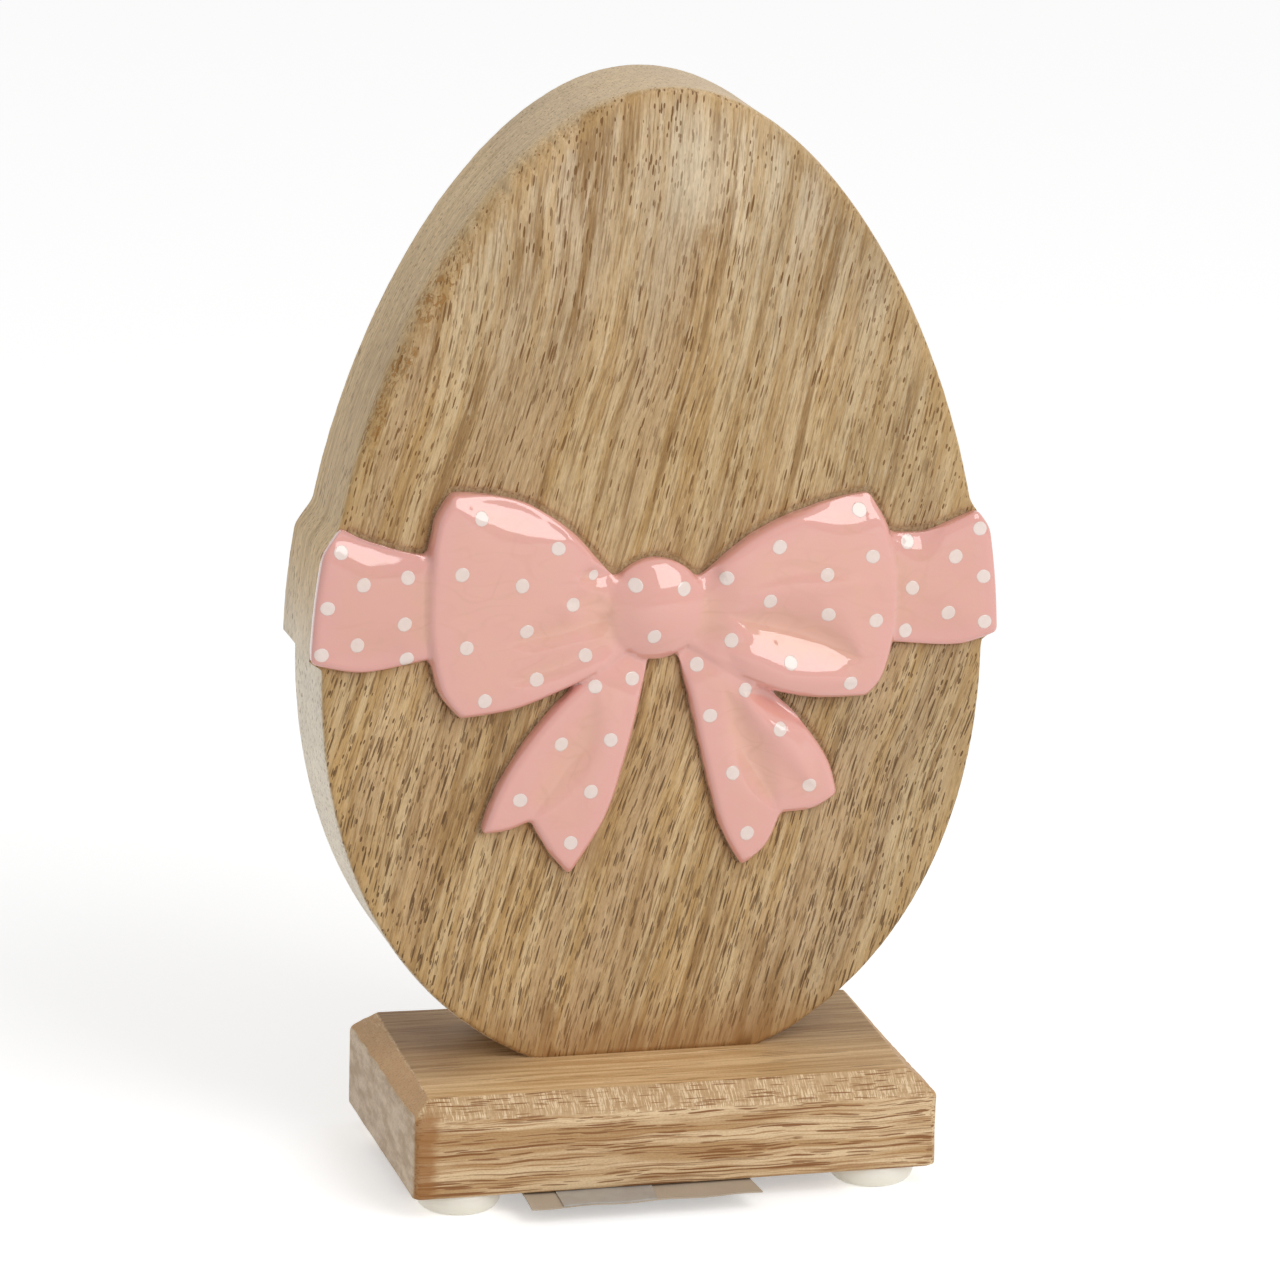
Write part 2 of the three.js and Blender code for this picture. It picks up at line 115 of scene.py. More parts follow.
# Grid on which the bow's shape is worked out, and the lines of equal depth that its mesh follows.
# A place is sampled from the last cell at most.
FIELD_HALF_WIDTH = 66
FIELD_BOTTOM = -52
FIELD_TOP = 26
FIELD_STEP = 0.3
FIELD_BLUR = 0.45
FAR_OUTSIDE = -50.0
SHORTEST_CONTOUR = 12
LAST_CELL = 1.001
GRID_STEP = 0.6
GRID_MARGIN = 0.35 * GRID_STEP
RIM_LEVELS = (0.07, 0.16, 0.3, 0.5, 0.75, 1.05, 1.4, 1.8, 2.3)

# Shallow strip that the carver left round the bow
CARVE_WIDTH = 1.35
CARVE_DEPTH = 0.34

# Camera, fitted to the photograph's outlines: its place is in metres
CAMERA_AZIMUTH = math.radians(14.96)
CAMERA_ELEVATION = math.radians(15.03)
CAMERA_ROLL = math.radians(1.27)
CAMERA_PLACE = Vector((-0.29922, -1.11031, 0.40757))
CAMERA_LENS = 185.99


# Fields over the plane of the face: x to the right and z up from the middle of the bow

def spline(points, steps=14):
    """Points along a smooth curve through the given ones."""
    known = [points[0], *points, points[-1]]
    curve = []
    for p0, p1, p2, p3 in zip(known, known[1:], known[2:], known[3:]):
        for k in range(steps):
            t = k / steps
            tangent_1 = (p2 - p0) / 2
            tangent_2 = (p3 - p1) / 2
            curve.append((2 * t**3 - 3 * t**2 + 1) * p1 + (t**3 - 2 * t**2 + t) * tangent_1
                         + (3 * t**2 - 2 * t**3) * p2 + (t**3 - t**2) * tangent_2)
    curve.append(points[-1])
    return curve


def outline(*sides):
    """One closed outline of smooth sides. Each starts where the side before it ends."""
    points = []
    start = sides[-1][-1]
    for side in sides:
        points.extend(spline([np.array(p, float) for p in (start, *side)])[:-1])
        start = side[-1]
    return np.array(points)


def chain_place(points, x, z):
    """Distance to a chain of straight stretches, and how far along it the nearest point lies."""
    best = np.full(x.shape, np.inf)
    along = np.zeros(x.shape)
    lengths = [math.dist(a, b) for a, b in zip(points, points[1:])]
    whole = sum(lengths)
    passed = 0.0
    for (ax, az), (bx, bz), length in zip(points, points[1:], lengths):
        dx, dz = bx - ax, bz - az
        share = np.clip(((x - ax) * dx + (z - az) * dz) / max(dx * dx + dz * dz, 1e-12), 0, 1)
        gap = np.hypot(x - ax - share * dx, z - az - share * dz)
        nearer = gap < best
        best = np.where(nearer, gap, best)
        along = np.where(nearer, (passed + share * length) / whole, along)
        passed += length
    return best, along


def signed_distance(polygon, x, z):
    """Distance to a closed outline, positive inside it."""
    closed = np.vstack([polygon, polygon[:1]])
    inside = np.zeros(x.shape, bool)
    for (ax, az), (bx, bz) in zip(closed, closed[1:]):
        if az != bz:
            crosses = (az > z) != (bz > z)
            inside ^= crosses & (x < (bx - ax) * (z - az) / (bz - az) + ax)
    gap, _ = chain_place(closed, x, z)
    return np.where(inside, gap, -gap)


def smooth_step(low, high, value):
    """0 up to low, 1 from high on, and a smooth change between."""
    t = np.clip((value - low) / (high - low), 0, 1)
    return t * t * (3 - 2 * t)


def plateau(value, rise, fall):
    """1 between two ranges, going up from 0 over the first and down again over the second."""
    return smooth_step(*rise, value) * (1 - smooth_step(*fall, value))


def smooth_max(a, b, width):
    """The larger of two heights, with the corner between them rounded."""
    near = np.clip(width - np.abs(a - b), 0, None) / width
    return np.maximum(a, b) + near * near * width / 4


def blurred(field, radius):
    """A field smoothed by a bell of the given radius in millimetres."""
    reach = int(math.ceil(3 * radius / FIELD_STEP))
    bell = np.exp(-0.5 * (np.arange(-reach, reach + 1) * FIELD_STEP / radius) ** 2)
    bell /= bell.sum()
    for axis in (0, 1):
        wide = np.pad(field, [(reach, reach) if a == axis else (0, 0) for a in (0, 1)], mode="edge")
        field = sum(weight * np.take(wide, range(k, k + field.shape[axis]), axis)
                    for k, weight in enumerate(bell))
    return field


def swirl(x, z, height, x_length, x_bend_length, x_bend, z_length, z_bend_length, z_bend):
    """Crossed waves that bend each other."""
    return (height * np.sin(x / x_length + x_bend * np.sin(z / x_bend_length))
            * np.sin(z / z_length + z_bend * np.sin(x / z_bend_length)))


# Egg outline, with the ring on its sides

def ring_rise(z):
    """Share of the ring's height at a height above the middle of the bow."""
    return plateau(z, (RING_BOTTOM, RING_BOTTOM + RING_BOTTOM_RAMP), (RING_TOP - RING_TOP_RAMP, RING_TOP))


def egg_outline(steps, grow=0.0):
    """The slab's outline as x and z from the middle of the bow, drawn in by a negative grow."""
    angle = np.arange(steps) / steps * 2 * math.pi
    z = EGG_CENTRE_Z - BOW_Z + EGG_HEIGHT / 2 * np.cos(angle)
    half = (EGG_HALF_WIDTH - EGG_TAPER * np.cos(angle)) * np.sin(angle)
    x = half + np.sign(half) * RING_HEIGHT * ring_rise(z)
    points = np.column_stack([x, z])
    tangent = np.roll(points, -1, axis=0) - np.roll(points, 1, axis=0)
    normal = np.column_stack([-tangent[:, 1], tangent[:, 0]])
    normal /= np.linalg.norm(normal, axis=1)[:, None]
    if np.ndim(grow) or grow:
        points = points + normal * np.reshape(grow, (-1, 1))
    return points


SLAB = egg_outline(SLAB_FIELD_STEPS)


# Bow

# Each ribbon's outline goes along its lower edge, its outer end and back along its upper edge.
# A fold is a chain of points, a height and a width, and a negative height is a valley.
RIBBONS = {
    "left_band": {
        "outline": outline(
            [(-43, -7.6), (-52.7, RING_BOTTOM), (-59, -8.6), (-BAND_REACH, -6)],
            [(-BAND_REACH, 21.5)],
            [(-59.3, RING_TOP), (-52.9, 14.4), (-43.3, 11.6), (-34, 11)],
            [(-34, -6.4)],
        ),
        "relief": 2.6,
        "shoulder": 0.35,
        "folds": [
            ([(-66, 19), (-53, 14.8), (-42, 11)], -1.4, 3.6),
            ([(-60, -6), (-46, -6)], -0.35, 4.0),
        ],
        "ends_at_slab": True,
    },
    "right_band": {
        "outline": outline(
            [(44, -8.2), (54.9, RING_BOTTOM), (60, -8.4), (BAND_REACH, -5.6)],
            [(BAND_REACH, 19.6)],
            [(58.3, 15.3), (50.5, 12.3), (44, 12), (34, 11.8)],
            [(34, -7)],
        ),
        "relief": 2.6,
        "shoulder": 0.35,
        "folds": [
            ([(43, 12.4), (53, 13.6)], -1.3, 3.4),
            ([(46, -6.5), (58, -7)], -0.35, 4.0),
        ],
        "ends_at_slab": True,
    },
    "left_tail": {
        "outline": outline(
            [(-18.3, -16.8), (-25, -25), (-29.5, -32.6), (-32.4, -40.4)],
            [(-27.6, -40), (-23.3, -38.4)],
            [(-19.8, -44.4), (-15.9, -49)],
            [(-9.3, -38.3), (-5.4, -25.8), (-2.8, -13.9), (-1.6, -6)],
            [(-7, -6)],
        ),
        "relief": 3.3,
        "shoulder": 0.4,
        "folds": [
            ([(-11.9, -15), (-13.9, -23.6), (-19.1, -31.4), (-23.5, -37.5)], -1.0, 3.0),
            ([(-8, -16), (-9.6, -27), (-14, -40)], 0.35, 3.2),
        ],
    },
    "right_tail": {
        "outline": outline(
            [(5.3, -14.3), (8.5, -27.6), (12.2, -41), (16.4, -49)],
            [(21, -45.2), (23.6, -39.3)],
            [(29.6, -38.8), (34.2, -36.2)],
            [(32.2, -29.6), (27.4, -22.6), (20.8, -16), (7, -6)],
            [(3, -6)],
        ),
        "relief": 3.2,
        "shoulder": 0.4,
        "folds": [
            ([(12.5, -15.8), (15.9, -24.2), (19.3, -31.7), (22.5, -38)], -1.1, 2.8),
            ([(15, -15), (22, -23), (29.5, -34)], 1.0, 3.2),
            ([(16.4, -16.0), (21.1, -17.4), (25.7, -19.5), (29.7, -23.1)], -2.6, 2.8),
        ],
    },
    "left_loop": {
        "outline": outline(
            [(-11, -11), (-18.7, -14.5), (-27, -17.4), (-36.7, -18.6)],
            [(-40.6, -13.2), (-42.8, -3), (-42.8, 8), (-41.4, 18), (-38.4, 22.8)],
            [(-30.2, 22), (-23, 19.5), (-15.7, 14.4), (-8.7, 6.6), (-4, 5)],
            [(-4, -6)],
        ),
        "relief": 4.1,
        "shoulder": 0.5,
        "folds": [
            ([(-38.5, 21.8), (-35.5, 21.7), (-30.5, 21.1), (-26, 19.8), (-22, 17.8), (-18, 14.6)],
             -1.75, 3.0),
            ([(-15.6, 7.0), (-8, 7.0)], -1.25, 2.1),
            ([(-8, -1), (-17, -2.6), (-28, -4.6)], -0.75, 2.6),
            ([(-10, -5.6), (-18, -8.6), (-28, -12)], -0.6, 2.3),
            ([(-10, 1.2), (-18, 2.8)], -0.5, 2.4),
        ],
    },
    "right_loop": {
        "outline": outline(
            [(12, -11.5), (20.4, -15.7), (29, -17.8), (39, -18)],
            [(42.2, -14), (44.2, -5), (44.2, 5), (42.4, 13.4), (38.6, 19.9)],
            [(32.3, 18.8), (23.4, 16), (15.7, 12), (7.8, 5.7), (4, 5)],
            [(4, -6)],
        ),
        "relief": 3.9,
        "shoulder": 0.5,
        "folds": [
            ([(13, -8), (24, -13), (36, -14.5)], 1.3, 4.0),
            ([(13.5, -1.7), (22, -4), (31, -7.4), (37, -10.4)], -2.0, 4.0),
            ([(13.6, 2.2), (25.7, 3.2), (38, 3.6)], 0.25, 2.2),
            ([(24, 18), (31, 19.4), (38, 20.2), (47, 19.4)], -2.0, 3.7),
            ([(6.2, 6.9), (11.5, 5.5)], -1.1, 2.0),
        ],
    },
}

KNOT = np.array([
    (KNOT_X + KNOT_HALF_WIDTH * math.cos(a), KNOT_HALF_HEIGHT * math.sin(a))
    for a in np.linspace(0, 2 * math.pi, KNOT_STEPS, endpoint=False)
])

FIELD_X = np.arange(-FIELD_HALF_WIDTH, FIELD_HALF_WIDTH + FIELD_STEP / 2, FIELD_STEP)
FIELD_Z = np.arange(FIELD_BOTTOM, FIELD_TOP + FIELD_STEP / 2, FIELD_STEP)
GRID_X, GRID_Z = np.meshgrid(FIELD_X, FIELD_Z, indexing="ij")


def distance_fields():
    """How far each place of the field lies inside every ribbon and the knot."""
    slab = signed_distance(SLAB, GRID_X, GRID_Z)
    fields = {}
    for name, ribbon in RIBBONS.items():
        field = signed_distance(ribbon["outline"], GRID_X, GRID_Z)
        if ribbon.get("ends_at_slab"):
            field = np.minimum(field, slab)
        fields[name] = blurred(field, FIELD_BLUR)
    fields["knot"] = blurred(signed_distance(KNOT, GRID_X, GRID_Z), FIELD_BLUR)
    return fields, slab


def sample(field, x, z):
    """A field's value between its grid points."""
    i = np.clip((x - FIELD_X[0]) / FIELD_STEP, 0, len(FIELD_X) - LAST_CELL)
    k = np.clip((z - FIELD_Z[0]) / FIELD_STEP, 0, len(FIELD_Z) - LAST_CELL)
    i0, k0 = i.astype(int), k.astype(int)
    a, b = i - i0, k - k0
    return ((1 - a) * (1 - b) * field[i0, k0] + a * (1 - b) * field[i0 + 1, k0]
            + (1 - a) * b * field[i0, k0 + 1] + a * b * field[i0 + 1, k0 + 1])


def rim(depth):
    """A quarter round: 0 at a ribbon's edge and 1 from the rim's width inwards."""
    t = np.clip(depth / RIM_WIDTH, 0, 1)
    return np.sqrt(1 - (1 - t) ** 2)


def knot_radius(x, z):
    return np.hypot((x - KNOT_X) / KNOT_HALF_WIDTH, z / KNOT_HALF_HEIGHT)


def over_rim(top, depth):
    """A height brought down over the round rim to the edge, and falling steeply outside it."""
    return EDGE_STEP + (top - EDGE_STEP) * rim(depth) + OUTSIDE_FALL * np.clip(depth, None, 0)


def ribbon_height(ribbon, depth, x, z):
    """Height of one ribbon above the face: its shoulder, its folds and its dip beside the knot."""
    top = ribbon["relief"] - ribbon["shoulder"] * np.exp(-np.clip(depth, 0, None) / SHOULDER_REACH)
    for points, height, width in ribbon["folds"]:
        gap, along = chain_place(points, x, z)
        fade = 1 - FOLD_FADE * (2 * along - 1) ** 2
        top = top + height * fade * np.exp(-((gap / (width * fade)) ** 2))
    past_knot = np.clip(knot_radius(x, z) - 1, 0, None) * KNOT_HALF_WIDTH
    top = top - KNOT_DIP * np.exp(-((past_knot / KNOT_DIP_WIDTH) ** 2))
    return over_rim(top, depth)


def bow_height(depths, x, z):
    """Height of the poured enamel above the face of the slab."""
    total = np.full(x.shape, FAR_OUTSIDE)
    for name, ribbon in RIBBONS.items():
        total = smooth_max(total, ribbon_height(ribbon, depths[name], x, z), BLEND)
    cap = KNOT_RELIEF - KNOT_CAP * np.clip(knot_radius(x, z), 0, 1) ** 2
    ripple = swirl(x, z, *RIPPLE) * rim(np.clip(depths["knot"], 0, None) + KNOT_RIPPLE_REACH)
    return smooth_max(total, over_rim(cap, depths["knot"]), BLEND) + ripple


def outline_field(depths):
    """Depth inside the whole bow, with its inner corners filled a little as enamel fills them."""
    whole = np.full(GRID_X.shape, FAR_OUTSIDE)
    for depth in depths.values():
        whole = smooth_max(whole, depth, OUTLINE_BLEND)
    return whole


def contours(field, level):
    """Closed loops where the field crosses a level, as arrays of x and z."""
    above = field > level
    links = {}
    places = {}

    def crossing(i, k, j, m):
        key = (i, k, j, m)
        if key not in places:
            a, b = field[i, k], field[j, m]
            t = (level - a) / (b - a)
            places[key] = (FIELD_X[i] + t * (FIELD_X[j] - FIELD_X[i]),
                           FIELD_Z[k] + t * (FIELD_Z[m] - FIELD_Z[k]))
        return key

    count = (above[:-1, :-1].astype(int) + above[1:, :-1] + above[:-1, 1:] + above[1:, 1:])
    for i, k in np.argwhere((count > 0) & (count < 4)):
        corners = [(i, k), (i + 1, k), (i + 1, k + 1), (i, k + 1)]
        found = []
        for start, end in zip(corners, corners[1:] + corners[:1]):
            if above[start] != above[end]:
                found.append(crossing(*min(start, end), *max(start, end)))
        for a, b in zip(found[::2], found[1::2]):
            links.setdefault(a, []).append(b)
            links.setdefault(b, []).append(a)
    loops = []
    left = set(links)
    while left:
        start = min(left)
        loop = [start]
        left.discard(start)
        here = start
        while True:
            ahead = [n for n in links[here] if n in left]
            if not ahead:
                break
            here = ahead[0]
            left.discard(here)
            loop.append(here)
        if len(loop) > SHORTEST_CONTOUR:
            loops.append(np.array([places[key] for key in loop]))
    return loops


def distances_along(points):
    """How far along a line of points each one lies."""
    return np.concatenate([[0], np.cumsum(np.hypot(*np.diff(points, axis=0).T))])


def resampled(loop, step):
    """A closed loop walked in equal steps."""
    closed = np.vstack([loop, loop[:1]])
    lengths = distances_along(closed)
    at = np.linspace(0, lengths[-1], max(8, int(lengths[-1] / step)), endpoint=False)
    return np.column_stack([np.interp(at, lengths, closed[:, 0]), np.interp(at, lengths, closed[:, 1])])


def area(loop):
    """Area inside a loop, negative when it runs clockwise."""
    x, z = loop.T
    return 0.5 * float(np.sum(x * np.roll(z, -1) - np.roll(x, -1) * z))


# Triangulation: only the faces inside the border, and the distance below which two points are one
INSIDE_ONLY = 1
SAME_PLACE = 1e-5


def triangulated(border, chains, loose):
    """Triangles inside a border that keep the chains' edges: the border's points come first."""
    points = [tuple(p) for p in border]
    edges = []
    for chain in chains:
        first = len(points)
        points.extend(tuple(p) for p in chain)
        edges.extend((first + k, first + (k + 1) % len(chain)) for k in range(len(chain)))
    points.extend(tuple(p) for p in loose)
    placed, _, faces, originals, *_ = delaunay_2d_cdt(
        [Vector(p) for p in points], edges, [list(range(len(border)))], INSIDE_ONLY, SAME_PLACE)
    return np.array([tuple(p) for p in placed]), [tuple(f) for f in faces], originals


def border_numbers(originals, numbers):
    """Which of the triangulated points lie on the border, with the numbers that those already have."""
    return {new: numbers[source] for new, sources in enumerate(originals)
            for source in sources if source < len(numbers)}


def in_scene(name, data):
    """A new object, linked to the scene."""
    obj = bpy.data.objects.new(name, data)
    bpy.context.scene.collection.objects.link(obj)
    return obj


def mesh_object(name, points, faces, smooth=True):
    """An object from points in millimetres, with its faces turned outwards."""
    mesh = bpy.data.meshes.new(name)
    mesh.from_pydata((np.asarray(points, float) * MM).tolist(), [], [tuple(f) for f in faces])
    mesh.validate()
    work = bmesh.new()
    work.from_mesh(mesh)
    bmesh.ops.recalc_face_normals(work, faces=work.faces)
    for face in work.faces:
        face.smooth = smooth
    work.to_mesh(mesh)
    work.free()
    return in_scene(name, mesh)


def set_attribute(obj, name, values):
    """One number for each vertex, which a material reads by its name."""
    attribute = obj.data.attributes.new(name, "FLOAT", "POINT")
    attribute.data.foreach_set("value", np.asarray(values, np.float32))


def loop_strip(first, second, count):
    """Quads between two closed loops of the same length, given the numbers of their first points."""
    return [(first + k, first + (k + 1) % count, second + (k + 1) % count, second + k)
            for k in range(count)]


def ring_strips(first, last, count):
    """Quads between rings of the same length that follow each other, from the first to the last."""
    return [quad for start in range(first, last, count) for quad in loop_strip(start, start + count, count)]


def fan(middle, first, count):
    """Triangles from a middle point to a closed loop, given the number of the loop's first point."""
    return [(middle, first + k, first + (k + 1) % count) for k in range(count)]


def wave(x, y, z, size, seed):
    """Smooth noise between -1 and 1 at a place in millimetres."""
    return noise.noise(Vector((x / size + seed, y / size - seed, z / size + 2 * seed)))


def waves(places, size, seed):
    """Smooth noise at each of many places."""
    return np.array([wave(*place, size, seed) for place in places])


DEPTHS, SLAB_DEPTH = distance_fields()
BOW_DEPTH = outline_field(DEPTHS)


def bow_depth_at(x, z):
    """Depth inside the bow at any place on the slab, also past the edge of the field."""
    in_field = (z > FIELD_Z[0]) & (z < FIELD_Z[-1])
    return np.where(in_field, sample(BOW_DEPTH, x, z), FAR_OUTSIDE)


# Poured enamel

ENAMEL_FOOT = 0.3
SLAB_EDGE = (0.4, 2.6)
WALL_STEPS = 4
BORDER_SPACING = 0.35
RIM_SPACING = 0.5
POOL_MARGIN = 0.3
POOL_BLUR = 2.6
POOL_DEPTHS = (0.6, 5.5)
POOL_GAIN = 0.8


def slab_share(x, z):
    """0 at the slab's outline and 1 from a little way inside it."""
    return smooth_step(*SLAB_EDGE, sample(SLAB_DEPTH, x, z))


def pooled(x, z, height):
    """How much enamel has pooled at each place: most in the hollows and away from the rim."""
    level = bow_height(DEPTHS, GRID_X, GRID_Z)
    inside = (BOW_DEPTH > POOL_MARGIN).astype(float)
    mean = blurred(level * inside, POOL_BLUR) / np.maximum(blurred(inside, POOL_BLUR), 1e-3)
    hollow = sample(mean, x, z) - height
    return smooth_step(*POOL_DEPTHS, sample(BOW_DEPTH, x, z)) * np.clip(0.5 + POOL_GAIN * hollow, 0, 1)


def build_bow():
    field = BOW_DEPTH + swirl(GRID_X, GRID_Z, *WOBBLE) * smooth_step(*WOBBLE_DEPTHS, SLAB_DEPTH)
    border = max(contours(field, 0.0), key=lambda loop: abs(area(loop)))
    border = resampled(border, BORDER_SPACING)
    if area(border) < 0:
        border = border[::-1]
    chains = [resampled(loop, RIM_SPACING) for level in RIM_LEVELS for loop in contours(field, level)]
    every = round(GRID_STEP / FIELD_STEP)
    on_grid = np.zeros(field.shape, bool)
    on_grid[::every, ::every] = True
    inner = on_grid & (field > RIM_LEVELS[-1] + GRID_MARGIN)
    loose = np.column_stack([GRID_X[inner], GRID_Z[inner]])
    flat, faces, originals = triangulated(border, chains, loose)
    x, z = flat.T
    height = bow_height({name: sample(d, x, z) for name, d in DEPTHS.items()}, x, z)
    points = [(a, FACE_Y - h, BOW_Z + b) for a, b, h in zip(x, z, height)]

    # The wall down to the slab, and the back
    place = {source: number for number, sources in enumerate(originals) for source in sources}
    count = len(border)
    row = [place[k] for k in range(count)]
    tops = height[row]
    foot = ENAMEL_FOOT * slab_share(*border.T)
    for step in range(1, WALL_STEPS + 1):
        new_row = list(range(len(points), len(points) + count))
        levels = tops - (foot + tops) * (step / WALL_STEPS)
        points += [(a, FACE_Y - level, BOW_Z + b) for (a, b), level in zip(border, levels)]
        faces += zip(row, row[1:] + row[:1], new_row[1:] + new_row[:1], new_row)
        row = new_row
    _, back_faces, originals = triangulated(border, [], [])
    at = border_numbers(originals, row)
    faces += [tuple(at[v] for v in reversed(f)) for f in back_faces]

    bow = mesh_object("ribbon_bow", points, faces)
    values = np.zeros(len(bow.data.vertices))
    values[:len(x)] = pooled(x, z, height)
    set_attribute(bow, "pool", values)
    return bow


# Dots

DOT_RADIUS = 1.37
SMALL_DOT_RADIUS = 1.0
DOT_PROUD = 0.02
DOT_RINGS = 7
DOT_SPOKES = 36
DOT_UNEVEN = 0.05
DOT_NOISE = 1.4
DOT_SEED_STEP = 0.37
DOT_OVAL = 0.03
DOT_EDGE_GAP = 0.12
DOT_LEAST_REACH = 0.1
DOT_PULL_IN = 0.94
DOT_UNDERCUT = 0.06
RAY_START = 20

# Middles of the dots from the middle of the bow, ribbon by ribbon
DOTS = {
    "left_band": [(-58.5, 13), (-54.5, 7), (-46.5, 8), (-61, 3), (-47, -0.5), (-55.5, -4), (-62, -5.5),
                  (-46.5, -7)],
    "left_loop": [(-33.5, 18.5), (-19.5, 12.5), (-37, 8.5), (-26, 6), (-16.5, 2), (-25, -2.5), (-36, -5),
                  (-14, -7.5), (-23, -11.5), (-32.5, -15)],
    "knot": [(-5, 5), (4, 4), (-1.5, -4.5)],
    "left_tail": [(-12, -13.5), (-5, -12.5), (-18, -24), (-9, -23.5), (-25.5, -34), (-12.5, -33),
                  (-16, -42.5)],
    "right_loop": [(36.5, 17), (21.5, 11), (12, 5.5), (39, 8.5), (30.5, 5.5), (20, 1), (31, -2), (40, -3.5),
                   (13, -6), (24, -10.5), (35.5, -15)],
    "right_tail": [(7, -10.5), (16, -15.5), (9.5, -20), (22.5, -23), (14, -31), (28.5, -34), (17, -42.5)],
    "right_band": [(46, 10.5), (59.5, 12.5), (55, 7.5), (47, 2), (60.5, 3.5), (54, -3), (46, -6), (61, -5)],
}
SMALL_DOT = (-12.5, 7)


def build_dots(bow):
    surface = BVHTree.FromObject(bow, bpy.context.evaluated_depsgraph_get())
    pool = np.zeros(len(bow.data.vertices), np.float32)
    bow.data.attributes["pool"].data.foreach_get("value", pool)
    points, faces, fade = [], [], []
    places = [(place, DOT_RADIUS) for group in DOTS.values() for place in group]
    places.append((SMALL_DOT, SMALL_DOT_RADIUS))

    def on_bow(x, z):
        start = Vector((x, FACE_Y - RAY_START, BOW_Z + z)) * MM
        place, normal, face, _ = surface.ray_cast(start, Vector((0, 1, 0)))
        return place / MM, normal, face

    def in_bow(x, z):
        return sample(BOW_DEPTH, np.array([x]), np.array([z]))[0] > DOT_EDGE_GAP

    for number, ((cx, cz), radius) in enumerate(places):
        first = len(points)
        middle, normal, face = on_bow(cx, cz)
        points.append(tuple(middle + normal * DOT_PROUD))
        for ring in range(1, DOT_RINGS + 1):
            lift = DOT_PROUD if ring < DOT_RINGS else -DOT_PROUD / 2
            for spoke in range(DOT_SPOKES):
                angle = spoke / DOT_SPOKES * 2 * math.pi
                turn = Vector((math.cos(angle), math.sin(angle), DOT_SEED_STEP * number))
                reach = radius * ring / DOT_RINGS * (1 + DOT_UNEVEN * noise.noise(turn * DOT_NOISE))
                reach *= 1 + DOT_OVAL * math.cos(2 * (angle - number))
                while reach >= DOT_LEAST_REACH and not in_bow(cx + reach * turn.x, cz + reach * turn.y):
                    reach *= DOT_PULL_IN
                place, normal, _ = on_bow(cx + reach * turn.x, cz + reach * turn.y)
                points.append(tuple(place + normal * lift))

        # The underside lies inside the enamel
        under = len(points)
        for point in points[-DOT_SPOKES:]:
            place = Vector(point)
            points.append(tuple(place + (middle - place) * DOT_UNDERCUT + Vector((0, 4 * DOT_PROUD, 0))))
        faces += fan(first, first + 1, DOT_SPOKES) + ring_strips(first + 1, under, DOT_SPOKES)
        points.append(tuple(middle + Vector((0, 5 * DOT_PROUD, 0))))
        faces += [triangle[::-1] for triangle in fan(len(points) - 1, under, DOT_SPOKES)]
        faint = float(np.mean(pool[list(bow.data.polygons[face].vertices)]))
        fade += [faint] * (len(points) - first)
    dots = mesh_object("bow_dots", points, faces)
    set_attribute(dots, "pool", fade)
    return dots


# Egg slab

# Heights from the middle of the bow between which the wooden ring has its own edge, and the stretch of
# the outline that was sanded rounder, as an angle back from the top
BAND_RISE = (-11, -8.2)
BAND_FALL = (15.5, 18.5)
SANDED_RISE = (-1.4, -0.9)
SANDED_FALL = (-0.4, -0.02)
EDGE_GLOW = 1.3
EDGE_GLOW_ON_FACE = 3.2
SIDE_HOLLOW = 0.05
SIDE_HOLLOW_LENGTH = 17
LEAST_CARVE_WIDTH = 0.45
FINE_DEPTHS = (-2.6, 0.6)
FINE_FROM_EDGE = 0.9
COARSE_DEPTHS = (-3.2, 1.2)

# Coarse grids on the face and on the back: half width, step and distance from the outline
FACE_GRID = (64, 2.0, 2.4)
BACK_GRID = (60, 8.0, 4)


def egg_edges(lengths):
    """How far the edges at the face and at the back are rounded off, all the way round the outline."""
    along = [(length, 0, 0) for length in lengths]
    worn = waves(along, 2.2, 3.1) + 0.6 * waves(along, 0.8, 5.3)
    patchy = smooth_step(-0.1, 0.5, waves(along, 26, 8.7))
    turned = (np.arange(EGG_STEPS) / EGG_STEPS - 1) * 2 * math.pi
    sanded = plateau(turned, SANDED_RISE, SANDED_FALL)
    band = plateau(egg_outline(EGG_STEPS)[:, 1], BAND_RISE, BAND_FALL)
    round_off = EDGE_ROUND + (EDGE_ROUND_SANDED - EDGE_ROUND) * sanded
    front = round_off * (1 + worn * (0.15 + 0.3 * patchy)) * (1 - band) + EDGE_ROUND_UNDER_BAND * band
    return front, EDGE_ROUND * (1 + 0.2 * worn)


def egg_rings(lengths, front, back):
    """Rings from the face over the side to the back: how far each lies outwards, and at which y."""
    rings = []
    for k in range(EDGE_STEPS + 1):
        turn = k / EDGE_STEPS * math.pi / 2
        rings.append((-front * (1 - math.sin(turn)), FACE_Y + front * (1 - math.cos(turn))))
    for k in range(1, SIDE_STEPS):
        share = k / SIDE_STEPS
        y = (FACE_Y + front) * (1 - share) + (BACK_Y - back) * share
        uneven = waves([(s, a, 0) for s, a in zip(lengths, y)], SIDE_HOLLOW_LENGTH, 2.2)
        rings.append((-SIDE_HOLLOW * (1 + uneven) * math.sin(share * math.pi) ** 0.5, y))
    for k in range(EDGE_STEPS + 1):
        turn = (1 - k / EDGE_STEPS) * math.pi / 2
        rings.append((-back * (1 - math.sin(turn)), BACK_Y - back * (1 - math.cos(turn))))
    return rings


